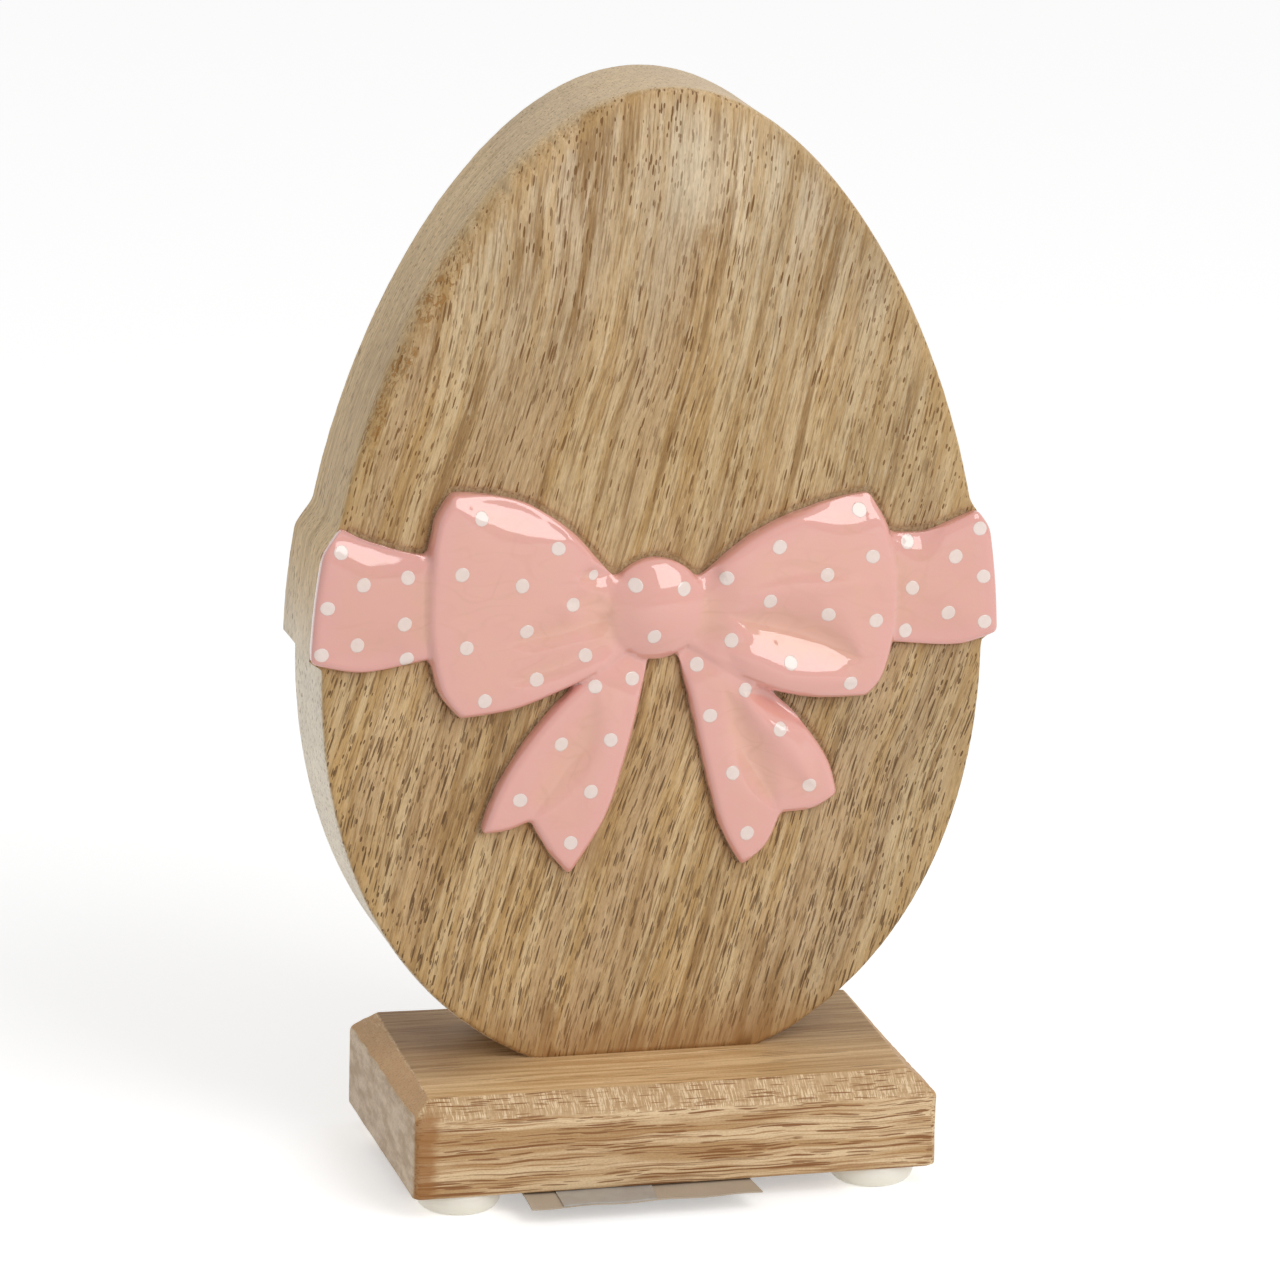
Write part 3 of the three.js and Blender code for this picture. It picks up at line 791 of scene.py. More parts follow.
def slab_grid(half_width, step, margin):
    """Places on a square grid that lie inside the slab's outline by more than a margin."""
    x, z = np.meshgrid(np.arange(-half_width, half_width, step),
                       np.arange(FOOT_Z - BOW_Z + step / 2, EGG_TOP - BOW_Z, step))
    inside = signed_distance(SLAB, x, z) > margin
    return np.column_stack([x[inside], z[inside]])


def carved(flat):
    """Share of the carver's strip at places on the face, and how deep the knife went there."""
    x, z = flat.T
    depth = bow_depth_at(x, z)
    _, slope_z = np.gradient(BOW_DEPTH, FIELD_STEP)
    upward = np.clip(-sample(slope_z, x, z), 0, 1)
    places = [(a, 0, b) for a, b in flat]
    width = (LEAST_CARVE_WIDTH + (CARVE_WIDTH - LEAST_CARVE_WIDTH) * upward ** 0.7
             + LEAST_CARVE_WIDTH * waves(places, 1.7, 4.4))
    cut = (1 - smooth_step(width * 0.3, width * 1.15, -depth)) * slab_share(x, z) * (depth > FAR_OUTSIDE)
    return cut, cut * (CARVE_DEPTH + np.where(depth < -0.15, 0.16 * waves(places, 0.55, 9.1), 0.0))


def build_egg():
    lengths = distances_along(egg_outline(EGG_STEPS))
    front, back = egg_edges(lengths)
    points, edge, outlines = [], [], []
    for grow, y in egg_rings(lengths, front, back):
        loop = egg_outline(EGG_STEPS, grow)
        loop[:, 1] = np.maximum(loop[:, 1], FOOT_Z - BOW_Z)
        outlines.append(loop)
        points += [(a, b, BOW_Z + c) for (a, c), b in zip(loop, y)]
        edge += list(np.exp(-((y - FACE_Y) / (EDGE_GLOW + front)) ** 2))
    last_ring = (len(outlines) - 1) * EGG_STEPS
    faces = ring_strips(0, last_ring, EGG_STEPS)
    carve = [0.0] * len(points)

    # The face: fine near the bow, where the strip is carved, and coarse elsewhere
    fine = (BOW_DEPTH > FINE_DEPTHS[0]) & (BOW_DEPTH < FINE_DEPTHS[1]) & (SLAB_DEPTH > FINE_FROM_EDGE)
    coarse = slab_grid(*FACE_GRID)
    depth = bow_depth_at(*coarse.T)
    coarse = coarse[(depth < COARSE_DEPTHS[0]) | (depth > COARSE_DEPTHS[1])]
    loose = np.vstack([np.column_stack([GRID_X[fine], GRID_Z[fine]]), coarse])
    flat, face_faces, originals = triangulated(outlines[0][::-1], [], loose)
    cut, sunk = carved(flat)
    from_edge = signed_distance(SLAB, *flat.T)
    number = border_numbers(originals, range(EGG_STEPS - 1, -1, -1))
    for new, (a, c) in enumerate(flat):
        if new not in number:
            number[new] = len(points)
            points.append((a, FACE_Y + sunk[new], BOW_Z + c))
            edge.append(math.exp(-((from_edge[new] / EDGE_GLOW_ON_FACE) ** 2)))
            carve.append(cut[new])
    faces += [tuple(number[v] for v in f) for f in face_faces]

    # The back
    flat, back_faces, originals = triangulated(outlines[-1][::-1], [], slab_grid(*BACK_GRID))
    number = border_numbers(originals, range(last_ring + EGG_STEPS - 1, last_ring - 1, -1))
    for new, (a, c) in enumerate(flat):
        if new not in number:
            number[new] = len(points)
            points.append((a, BACK_Y, BOW_Z + c))
            edge.append(0.0)
            carve.append(0.0)
    faces += [tuple(number[v] for v in reversed(f)) for f in back_faces]

    egg = mesh_object("egg_slab", points, faces)
    set_attribute(egg, "edge", edge)
    set_attribute(egg, "carve", carve)
    return egg


# Base block

# A chamfer with two widths has the first one at its front or left end, and the other at its back or
# right end. The chamfers drop further at the right end.
CHAMFER_LEFT = (3.6, 5.2)
CHAMFER_RIGHT = (4.3, 3.0)
CHAMFER_FRONT = 4.8
CHAMFER_BACK = (1.0, 4.4)
DROP_LEFT = 2.6
DROP_RIGHT = 3.9
CORNER_RADIUS = 1.7
LEAST_CORNER_RADIUS = 0.5
CORNER_STEPS = 8
END_POINTS = 70
LONG_POINTS = 120
ARRIS = 0.7
ROUND_STEPS = 4
SIDE_ROWS = 6
BEND = 0.16
FLAT_MARGIN = 0.5
CHAMFER_SHARES = (0.3, 0.5, 0.7)
FIRST_CHAMFER_RING = ROUND_STEPS + SIDE_ROWS + 1
LAST_CHAMFER_RING = FIRST_CHAMFER_RING + ROUND_STEPS + len(CHAMFER_SHARES)
WORN_RINGS = [ring + k for ring in (FIRST_CHAMFER_RING, LAST_CHAMFER_RING) for k in range(3)]
SCREW_SPACING = 22.0
SCREW_Y = BACK_Y - SLAB_THICKNESS / 2
HEAD_HOLE_RADIUS = 4.4
HEAD_HOLE_DEPTH = 3.2
SHANK_HOLE_RADIUS = 2.3
HOLE_STEPS = 32
HOLE_COLLAR = 0.5


def rounded_rectangle(inset, radius):
    """Points round the base's footprint with round corners, and the way out at each of them."""
    low_x, high_x = BASE_LOW.x + inset + radius, BASE_HIGH.x - inset - radius
    low_y, high_y = BASE_LOW.y + inset + radius, BASE_HIGH.y - inset - radius
    corners = [(high_x, low_y, -90, END_POINTS), (high_x, high_y, 0, LONG_POINTS),
               (low_x, high_y, 90, END_POINTS), (low_x, low_y, 180, LONG_POINTS)]
    points, outward = [], []
    for (cx, cy, start, count), (nx, ny, *_) in zip(corners, corners[1:] + corners[:1]):
        for k in range(CORNER_STEPS + 1):
            angle = math.radians(start + 90 * k / CORNER_STEPS)
            points.append((cx + radius * math.cos(angle), cy + radius * math.sin(angle)))
            outward.append((math.cos(angle), math.sin(angle)))
        out_x, out_y = outward[-1]
        for k in range(1, count):
            share = k / count
            points.append((cx + (nx - cx) * share + radius * out_x, cy + (ny - cy) * share + radius * out_y))
            outward.append((out_x, out_y))
    return np.array(points), np.array(outward)


def base_profile():
    """Steps up the base's sides: share of the chamfer, inset, where the level is counted from, and the
    level. It is counted up from the bottom, as a share of the side, or down from a share of the drop."""
    rounds = [k / ROUND_STEPS for k in range(ROUND_STEPS + 1)]
    return [
        (0, ARRIS + FLAT_MARGIN, "bottom", 0),
        *[(0, ARRIS * (1 - t) ** 2, "bottom", ARRIS * t * t) for t in rounds],
        *[(0, 0, "side", k / SIDE_ROWS) for k in range(1, SIDE_ROWS)],
        *[(t * t * BEND, 0, 1 - t * t * BEND, (1 - t) ** 2 * ARRIS) for t in rounds],
        *[(share, 0, 1 - share, 0) for share in CHAMFER_SHARES],
        *[(1 - (1 - t) ** 2 * BEND, t * t * ARRIS, (1 - t) ** 2 * BEND, 0) for t in rounds],
        (1, ARRIS + FLAT_MARGIN, 0, 0),
    ]


def between(ends, share):
    return ends[0] + (ends[1] - ends[0]) * share


def drawn_in(ring, share):
    """A ring round the base moved inwards by a share of the chamfers, and how far right its points lie."""
    across = (ring[:, 0] - BASE_LOW.x) / (BASE_HIGH.x - BASE_LOW.x)
    deep = (ring[:, 1] - BASE_LOW.y) / (BASE_HIGH.y - BASE_LOW.y)
    move_x = (1 - across) * between(CHAMFER_LEFT, deep) - across * between(CHAMFER_RIGHT, deep)
    move_y = (1 - deep) * CHAMFER_FRONT - deep * between(CHAMFER_BACK, across)
    return ring + share * np.column_stack([move_x, move_y]), across


def base_wear(number, x, y, z):
    """How far a place on one of the base's rings is worn inwards, and how far down."""
    dent = 0.10 + 0.10 * wave(x, y, z, 9, 1.1) + 0.05 * wave(x, y, z, 1.7, 7.7)
    right_end = smooth_step(BASE_HIGH.x - 3.0, BASE_HIGH.x - 0.5, x)
    chips = max(0.0, wave(x, y, z, 1.5, 3.9) + 0.12) * 0.9 * right_end
    worn = max(0.0, wave(x, y, z, 2.6, 6.1)) * 0.35 * (number in WORN_RINGS)
    return dent + chips + worn, 0.25 * chips * (number >= FIRST_CHAMFER_RING)


def base_rings():
    """The rings up the base's sides, as lists of points. The first and the last lie in its flat faces."""
    profile = base_profile()
    rings = []
    for number, (share, inset, start, level) in enumerate(profile):
        radius = max(CORNER_RADIUS - 0.25 * (share * CHAMFER_FRONT + inset), LEAST_CORNER_RADIUS)
        ring, outward = rounded_rectangle(inset, radius)
        ring, across = drawn_in(ring, share)
        full_drop = between((DROP_LEFT, DROP_RIGHT), across)
        if start == "bottom":
            heights = np.full(len(ring), BASE_LOW.z + level)
        elif start == "side":
            side = BASE_HIGH.z - full_drop - BASE_LOW.z - 2 * ARRIS
            heights = BASE_LOW.z + ARRIS + side * level
        else:
            heights = BASE_HIGH.z - start * full_drop - level
        points = []
        for (x, y), (out_x, out_y), z in zip(ring, outward, heights):
            inward, down = base_wear(number, x, y, z) if 0 < number < len(profile) - 1 else (0, 0)
            points.append((x - out_x * inward, y - out_y * inward, z - down))
        rings.append(points)
    return rings


def circle(cx, cy, radius, steps=HOLE_STEPS):
    turns = np.linspace(0, 2 * math.pi, steps, endpoint=False)
    return np.column_stack([cx + radius * np.cos(turns), cy + radius * np.sin(turns)])


def build_base():
    bottom, top = BASE_LOW.z, BASE_HIGH.z
    rings = base_rings()
    count = len(rings[0])
    last_ring = (len(rings) - 1) * count
    points = [point for ring in rings for point in ring]
    faces = ring_strips(0, last_ring, count)

    # Screw holes, each with its middle and the numbers of its first points at the bottom and the top
    holes = []
    for side in (-1, 1):
        cx = (BASE_LOW.x + BASE_HIGH.x) / 2 + side * SCREW_SPACING / 2
        first = len(points)
        for level, radius in ((bottom, HEAD_HOLE_RADIUS), (bottom + HEAD_HOLE_DEPTH, HEAD_HOLE_RADIUS),
                              (bottom + HEAD_HOLE_DEPTH, SHANK_HOLE_RADIUS), (top, SHANK_HOLE_RADIUS)):
            points += [(x, y, level) for x, y in circle(cx, SCREW_Y, radius)]
        last = len(points) - HOLE_STEPS
        faces += ring_strips(first, last, HOLE_STEPS)
        holes.append((cx, first, last))

    # Flat faces round the holes, with a collar of even triangles at each hole
    for first, hole_radius, which, level in ((0, HEAD_HOLE_RADIUS, 1, bottom),
                                             (last_ring, SHANK_HOLE_RADIUS, 2, top)):
        border = [point[:2] for point in points[first:first + count]]
        chains = [circle(hole[0], SCREW_Y, radius) for radius in (hole_radius, hole_radius + HOLE_COLLAR)
                  for hole in holes]
        flat, made, originals = triangulated(border, chains, [])
        at, hole_of = {}, {}
        for number, sources in enumerate(originals):
            source = min(sources)
            hole, k = divmod(source - count, HOLE_STEPS)
            if source < count:
                at[number] = first + source
            elif hole < len(holes):
                at[number] = holes[hole][which] + k
                hole_of[number] = hole
            else:
                at[number] = len(points)
                points.append((*flat[number], level))
        for face in made:
            owners = {hole_of.get(v) for v in face}
            if owners == {None} or len(owners) > 1:
                faces.append(tuple(at[v] for v in face))
    return mesh_object("base_block", points, faces)


# Pads: squat milky domes, stuck on by their flat side

PAD_STEPS = 72
PAD_TOP_INSET = 0.8
PAD_ROUND = 0.25
PAD_WALL = 0.6
PAD_SLOPE = 2.2
PAD_SLOPE_STEPS = 10
PAD_FLAT_INSET = 3.4


def build_pad(name, node):
    """A closed turned solid, ring by ring from the top down."""
    low, high = box_mm(node)
    cx, cy = (low.x + high.x) / 2, (low.y + high.y) / 2
    radius = (high.x - low.x) / 2
    profile = [(radius - PAD_TOP_INSET, high.z), (radius - PAD_ROUND, high.z), (radius, high.z - PAD_ROUND)]
    for k in range(1, PAD_SLOPE_STEPS + 1):
        turn = k / PAD_SLOPE_STEPS * math.pi / 2
        profile.append((radius - PAD_SLOPE * (1 - math.cos(turn)),
                        high.z - PAD_WALL - (high.z - low.z - PAD_WALL) * math.sin(turn)))
    profile.append((radius - PAD_FLAT_INSET, low.z))
    points = [(cx, cy, high.z)]
    for ring_radius, level in profile:
        points += [(x, y, level) for x, y in circle(cx, cy, ring_radius, PAD_STEPS)]
    points.append((cx, cy, low.z))
    last_ring = len(points) - 1 - PAD_STEPS
    faces = fan(0, 1, PAD_STEPS) + ring_strips(1, last_ring, PAD_STEPS)
    faces += fan(len(points) - 1, last_ring, PAD_STEPS)
    return mesh_object(name, points, faces)


# Paper strip and tape under the front edge of the base

SHEET_STEPS_X = 60
SHEET_STEPS_Y = 30
SHEET_THICKNESS = 0.28
SHEET_GAP = 0.02
SHEET_CURL = 0.12
SHEET_CURL_LENGTH = 2.3


def build_sheet(name, node, droop, end_slant=0.0, end_bow=0.0):
    """A thin sheet with its front edge drooping: droop is the fall at its left and its right end. It is
    narrower by end_slant at its back, and by end_bow at its front and its back."""
    low, high = box_mm(node)
    thick = min(SHEET_THICKNESS, high.z - low.z)
    points, faces = [], []
    for lift in (0, -thick):
        for v in np.linspace(0, 1, SHEET_STEPS_Y + 1):
            y = low.y + (high.y - low.y) * v
            over = np.clip((BASE_LOW.y - y) / (BASE_LOW.y - low.y), 0, 1)
            width = (high.x - low.x) - end_slant * v - end_bow * (2 * v - 1) ** 2
            for u in np.linspace(0, 1, SHEET_STEPS_X + 1):
                x = low.x + width * u
                fall = between(droop, u) * over ** 1.5
                fall += SHEET_CURL * over * (1 + math.sin(x / SHEET_CURL_LENGTH))
                points.append((x, y, max(high.z - SHEET_GAP + lift - fall, low.z)))
    grid = np.arange(len(points) // 2).reshape(SHEET_STEPS_Y + 1, SHEET_STEPS_X + 1)
    for quad in np.stack([grid[:-1, :-1], grid[:-1, 1:], grid[1:, 1:], grid[1:, :-1]], -1).reshape(-1, 4):
        faces += [quad.tolist(), (grid.size + quad[::-1]).tolist()]
    border = np.concatenate([grid[0], grid[1:, -1], grid[-1, -2::-1], grid[-2:0:-1, 0]]).tolist()
    faces += [(a, b, grid.size + b, grid.size + a) for a, b in zip(border, border[1:] + border[:1])]
    return mesh_object(name, points, faces, smooth=False)


# Materials

class Nodes:
    """A node tree whose nodes are made by short calls. A value is a number, a tone or a socket."""

    def __init__(self, tree):
        self.tree = tree

    def node(self, kind, *values, **settings):
        """A node with its settings, and its first inputs filled."""
        node = self.tree.nodes.new(kind)
        for key, value in settings.items():
            setattr(node, key, value)
        for socket, value in zip(node.inputs, values):
            self.put(socket, value)
        return node

    def put(self, socket, value):
        if isinstance(value, bpy.types.NodeSocket):
            self.tree.links.new(value, socket)
        elif socket.type == "RGBA":
            socket.default_value = (*value[:3], 1)
        else:
            socket.default_value = value

    def math(self, operation, *values, clamp=False):
        return self.node("ShaderNodeMath", *values, operation=operation, use_clamp=clamp).outputs[0]

    def line(self, value, gain, start):
        """The value times a gain, counted from a start."""
        return self.math("MULTIPLY_ADD", value, gain, start)

    def less(self, value, share=1.0):
        """1 less a share of the value."""
        return self.line(value, -share, 1.0)

    def chain(self, operation, result, *others):
        for other in others:
            result = self.math(operation, result, other)
        return result

    def times(self, *values):
        return self.chain("MULTIPLY", *values)

    def plus(self, *values):
        return self.chain("ADD", *values)

    def most(self, *values):
        return self.chain("MAXIMUM", *values)

    def size_of(self, value):
        return self.math("ABSOLUTE", value)

    def step(self, value, low, high, start=0.0, end=1.0):
        """A smooth change from start to end while the value goes from low to high."""
        return self.node("ShaderNodeMapRange", value, low, high, start, end,
                         interpolation_type="SMOOTHSTEP").outputs[0]

    def split(self, vector):
        return self.node("ShaderNodeSeparateXYZ", vector).outputs

    def join(self, x, y, z):
        return self.node("ShaderNodeCombineXYZ", x, y, z).outputs[0]

    def scaled(self, vector, gain):
        node = self.node("ShaderNodeVectorMath", vector, operation="SCALE")
        self.put(node.inputs["Scale"], gain)
        return node.outputs["Vector"]

    def noise(self, vector, size=1.0, detail=2.0, rough=0.5, twist=0.0):
        node = self.node("ShaderNodeTexNoise")
        for key, value in (("Vector", vector), ("Scale", 1 / size), ("Detail", detail), ("Roughness", rough),
                           ("Distortion", twist)):
            self.put(node.inputs[key], value)
        return node.outputs["Fac"]

    def mix(self, share, first, second, blend="MIX"):
        node = self.node("ShaderNodeMix", data_type="RGBA", blend_type=blend)
        for number, value in ((0, share), (6, first), (7, second)):
            self.put(node.inputs[number], value)
        return node.outputs[2]

    def coats(self, colour, *coats):
        """A colour under coats, each one a share and a tone."""
        for share, tone in coats:
            colour = self.mix(share, colour, tone)
        return colour

    def filtered(self, colour, *filters):
        """A colour through filters, each one a share and a tone that it is multiplied by."""
        for share, tone in filters:
            colour = self.mix(share, colour, tone, "MULTIPLY")
        return colour

    def tinted(self, colour, value, swing, middle=1.0):
        """A colour made darker and lighter by a value between 0 and 1, with a swing about the middle."""
        return self.scaled(colour, self.line(value, swing, middle - swing / 2))

    def away(self, x, z, middle, half_size):
        """Distance from a middle, counted in half widths and half heights."""
        u, v = (self.math("DIVIDE", self.math("SUBTRACT", place, centre), half)
                for place, centre, half in zip((x, z), middle, half_size))
        return self.math("SQRT", self.plus(self.times(u, u), self.times(v, v)))

    def stretched(self, axes, across, depth, along, shift=0.0):
        u, v, w = axes
        return self.join(self.line(u, 1 / across, shift), self.times(v, 1 / depth),
                         self.line(w, 1 / along, shift))

    def grain(self, axes, lengths, detail, rough=0.5, shift=0.0, twist=0.0):
        """Noise with its own lengths across, through and along the grain."""
        return self.noise(self.stretched(axes, *lengths, shift), 1, detail, rough, twist)

    def pores(self, axes, across, along, size, shift=0.0, soft=0.06):
        """Dark dashes along the grain, each with its own strength."""
        cells = self.node("ShaderNodeTexVoronoi")
        self.put(cells.inputs["Vector"], self.stretched(axes, across, across, along, shift))
        self.put(cells.inputs["Scale"], 1.0)
        own = self.split(cells.outputs["Color"])[0]
        width = self.line(own, 0.5 * size, 0.6 * size)
        inside = self.math("SUBTRACT", width, cells.outputs["Distance"])
        return self.times(self.step(inside, 0.0, soft), self.step(own, 0.05, 0.7, 0.25, 1.0))

    def seen(self):
        """1 for the rays that show a thing, straight, mirrored or through something clear."""
        rays = self.node("ShaderNodeLightPath").outputs
        return self.most(rays["Is Camera Ray"], rays["Is Glossy Ray"], rays["Is Transmission Ray"])


class Look(Nodes):
    """A material with its places in millimetres and its normal at hand."""

    def __init__(self, name):
        self.material = bpy.data.materials.new(name)
        self.material.use_nodes = True
        super().__init__(self.material.node_tree)
        self.shader = self.tree.nodes["Principled BSDF"]
        self.mm = self.scaled(self.node("ShaderNodeTexCoord").outputs["Object"], 1 / MM)
        self.place = self.split(self.mm)
        self.normal = self.split(self.node("ShaderNodeNewGeometry").outputs["Normal"])

    def set(self, **values):
        """Fills the shader's inputs, named with _ for each space."""
        for key, value in values.items():
            self.put(self.shader.inputs[key.replace("_", " ")], value)

    def attribute(self, name):
        return self.node("ShaderNodeAttribute", attribute_name=name).outputs["Fac"]

    def bump(self, height, distance, strength=1.0):
        node = self.node("ShaderNodeBump")
        for key, value in (("Height", height), ("Distance", distance * MM), ("Strength", strength)):
            self.put(node.inputs[key], value)
        self.set(Normal=node.outputs[0])


# Egg wood

GRAIN_LEAN = math.radians(15.5)
GRAIN_OUT = math.radians(5)
GRAIN_BEND_FROM = 118
UPPER_FACE = (132, 192)
LOWER_FACE = (120, 80)
RIGHT_HALF = (0, 32)

# Dark patches, each with its middle, its half size, its strength and its tone
EGG_PATCHES = [
    ((7.5, 172.5), (2.0, 3.8), 0.60, (0.31, 0.165, 0.055)),
    ((-19, 30), (3.0, 6.0), 0.60, (0.25, 0.125, 0.040)),
    ((-11, 60), (5.0, 7.0), 0.40, (0.33, 0.19, 0.080)),
    ((19, 41), (3.5, 6.0), 0.40, (0.30, 0.17, 0.070)),
]
# Painted glare: a light patch near the top of the face that stands in for the lamp's sheen on the waxed wood
PAINTED_GLARE_PATCH = ((6, 184), (8.0, 17.0))


def egg_axes(look):
    """Ways across, through and along the grain, which leans to the left and bends near the top."""
    x, y, z = look.place
    wander = look.line(look.noise(look.mm, 58, 1), 7, -3.5)
    bend = look.math("POWER", look.most(look.math("SUBTRACT", z, GRAIN_BEND_FROM), 0), 2)
    leaned = look.line(z, -math.tan(GRAIN_LEAN), look.line(bend, 0.0011, x))
    return look.plus(leaned, wander), look.line(z, math.tan(GRAIN_OUT), y), z


def egg_face(look, axes, flame, narrow, low, painted_glare, golden):
    """Gold, cream and rosy wood, lighter towards the top partly as painted light from above, with brown
    flames, thin streaks, a painted glare patch near the top and golden edges.
    """
    x, _, z = look.place
    # The wood gets lighter towards the top: partly its own tone and partly painted light from above
    height = look.step(z, *UPPER_FACE)
    gold = look.mix(height, (0.440, 0.268, 0.104), (0.545, 0.375, 0.195))
    cream = look.mix(height, (0.590, 0.420, 0.222), (0.680, 0.535, 0.350))
    rosy = look.mix(height, (0.470, 0.312, 0.165), (0.560, 0.425, 0.280))
    broad = look.grain(axes, (8, 22, 95), 2, 0.55)
    thin = look.grain(axes, (0.38, 0.6, 26), 3, 0.6, 7.7)
    colour = look.coats(
        look.mix(look.step(narrow, 0.38, 0.62), gold, cream),
        (look.step(broad, 0.46, 0.64, 0, 0.7), rosy),
        (look.step(flame, 0.52, 0.66, 0, 0.85), (0.295, 0.165, 0.058)),
        (look.times(look.step(thin, 0.52, 0.63), look.line(low, 0.25, 0.6)), (0.235, 0.130, 0.050)),
        (look.times(look.step(thin, 0.44, 0.33), look.line(low, -0.2, 0.4)), (0.70, 0.55, 0.36)),
        (look.times(painted_glare, 0.4), (0.78, 0.67, 0.49)),
        (look.times(golden, 0.5), (0.50, 0.31, 0.125)),
    )
    return look.filtered(colour, (look.step(x, *RIGHT_HALF), (0.93, 0.95, 0.99)), (low, (1.08, 1.09, 1.11)))


def egg_side(look, axes):
    """Brushed tan, greyer at the top, and lighter at the lower left as a painted sheen of the white
    surroundings.
    """
    x, y, z = look.place
    brushed = look.noise(look.join(look.math("DIVIDE", y, 0.9), 0, look.math("DIVIDE", z, 34)), 1, 4, 0.65)
    # Painted sheen: the side turns light towards the lower left, where it catches the white surroundings
    painted_glare_low_left = look.times(look.step(z, BOW_Z + 12, BOW_Z - 16), look.step(x, 20, -20))
    tan = look.coats(
        look.mix(look.step(brushed, 0.35, 0.65), (0.560, 0.380, 0.185), (0.760, 0.565, 0.325)),
        (look.times(look.step(z, 182, 197), 0.6), (0.64, 0.49, 0.315)),
        (painted_glare_low_left, (0.94, 0.85, 0.70)),
    )
    return look.tinted(tan, look.grain(axes, (0.8, 0.7, 3.2), 3, 0.7, 15.1), 0.8)


def egg_pores(look, axes, side, low, painted_glare):
    """Dashes, ticks, dots, long lines and strokes on the face, and ticks of their own on the side."""
    x, _, z = look.place
    crowd = look.step(look.grain(axes, (5, 12, 24), 2, shift=1.7), 0.36, 0.52, 0.2, 1.0)
    long_zone = look.step(look.grain(axes, (9, 20, 40), 1, shift=13.7), 0.42, 0.58)
    long_zone = look.most(long_zone, look.times(low, 0.5))
    near_edge = look.most(look.step(look.size_of(x), 26, 46), look.step(z, 172, 190))
    kinds = [
        (look.pores(axes, 0.72, 8.5, 0.28, 0.0, 0.04), crowd, look.line(long_zone, 0.6, 0.4)),
        (look.pores(axes, 0.68, 4.2, 0.29, 5.5, 0.04), crowd, look.line(long_zone, -0.5, 1.0)),
        (look.pores(axes, 0.82, 2.3, 0.25, 6.9, 0.04), look.line(near_edge, 0.75, 0.2)),
        (look.pores(axes, 0.85, 40, 0.22, 9.2, 0.04), look.line(long_zone, 0.6, 0.35)),
        (look.pores(axes, 0.66, 11, 0.29, 3.7, 0.03), look.line(low, 0.7, 0.2)),
    ]
    # The marks fade under the painted glare
    marks = look.times(look.most(*[look.times(*kind) for kind in kinds]), look.less(painted_glare, 0.45))
    side_ticks = look.times(look.pores(axes, 0.62, 3.0, 0.30, 11.3), 0.85)
    return look.plus(look.times(marks, look.less(side, 0.8)), look.times(side_ticks, side))


def egg_wood():
    look = Look("egg_wood")
    x, y, z = look.place
    axes = egg_axes(look)
    side = look.step(look.size_of(look.normal[1]), 0.80, 0.25)
    low = look.step(z, *LOWER_FACE)
    edge = look.attribute("edge")
    carve = look.attribute("carve")
    flame = look.grain(axes, (3.2, 9, 58), 3, 0.6, 4.9)
    narrow = look.grain(axes, (2.2, 8, 52), 4, 0.65, 3.1)
    fibre = look.grain(axes, (0.28, 0.3, 9), 2, 0.65)
    painted_glare = look.step(look.away(x, z, *PAINTED_GLARE_PATCH), 1.0, 0.2)
    golden = look.times(edge, look.less(side, 0.7))
    colour = egg_face(look, axes, flame, narrow, low, painted_glare, golden)
    colour = look.mix(look.times(side, 0.85), colour, egg_side(look, axes))
    colour = look.tinted(colour, fibre, 0.5)
    colour = look.tinted(colour, look.grain(axes, (0.2, 0.2, 0.9), 1), 0.34)
    colour = look.tinted(colour, look.grain(axes, (15, 24, 38), 2, shift=12.3), 0.50, 1.01)

    marks = egg_pores(look, axes, side, low, painted_glare)
    dark = look.mix(side, look.mix(low, (0.175, 0.080, 0.021), (0.115, 0.056, 0.018)), (0.27, 0.155, 0.068))
    colour = look.mix(look.times(marks, 0.95), colour, dark)
    mottle = look.line(look.noise(look.mm, 1.4, 3), 1.6, -0.8)
    for middle, half_size, strength, tone in EGG_PATCHES:
        blurry = look.plus(look.away(x, z, middle, half_size), mottle)
        colour = look.mix(look.step(blurry, 1.0, 0.1, 0, strength), colour, tone)

    # Torn arris at the upper left, the carver's scraped strip, and the darker foot
    torn = look.times(
        look.step(edge, 0.55, 0.9), look.step(x, -14, -26), look.step(z, BOW_Z + 26, BOW_Z + 36),
        look.step(z, 176, 166), look.step(look.noise(look.mm, 11, 1), 0.40, 0.52),
        look.step(look.grain(axes, (0.9, 0.9, 1.8), 4, 0.7, twist=1.0), 0.51, 0.57))
    scrape = look.noise(look.mm, 0.45, 3, 0.7)
    scraped = look.mix(look.step(scrape, 0.38, 0.62), (0.20, 0.135, 0.065), (0.45, 0.35, 0.21))
    foot = look.times(look.step(z, BASE_HIGH.z + 12, BASE_HIGH.z), look.step(flame, 0.38, 0.60, 0.35, 0.75))
    colour = look.coats(
        colour,
        (look.times(torn, 0.8), (0.33, 0.155, 0.038)),
        (look.times(look.step(carve, 0.1, 0.9), 0.45), scraped),
        (foot, (0.36, 0.185, 0.07)),
    )
    look.set(Base_Color=colour, Roughness=look.line(narrow, 0.2, 0.38), IOR=1.45, Specular_IOR_Level=0.3)
    relief = look.plus(look.times(fibre, 0.3), look.times(marks, -0.7), look.times(carve, scrape, 1.5),
                       look.times(torn, -1.5))
    look.bump(relief, 0.1, 0.6)
    return look.material


# Base wood: its long sides have the colour of the board, and its chamfers, ends and top their own

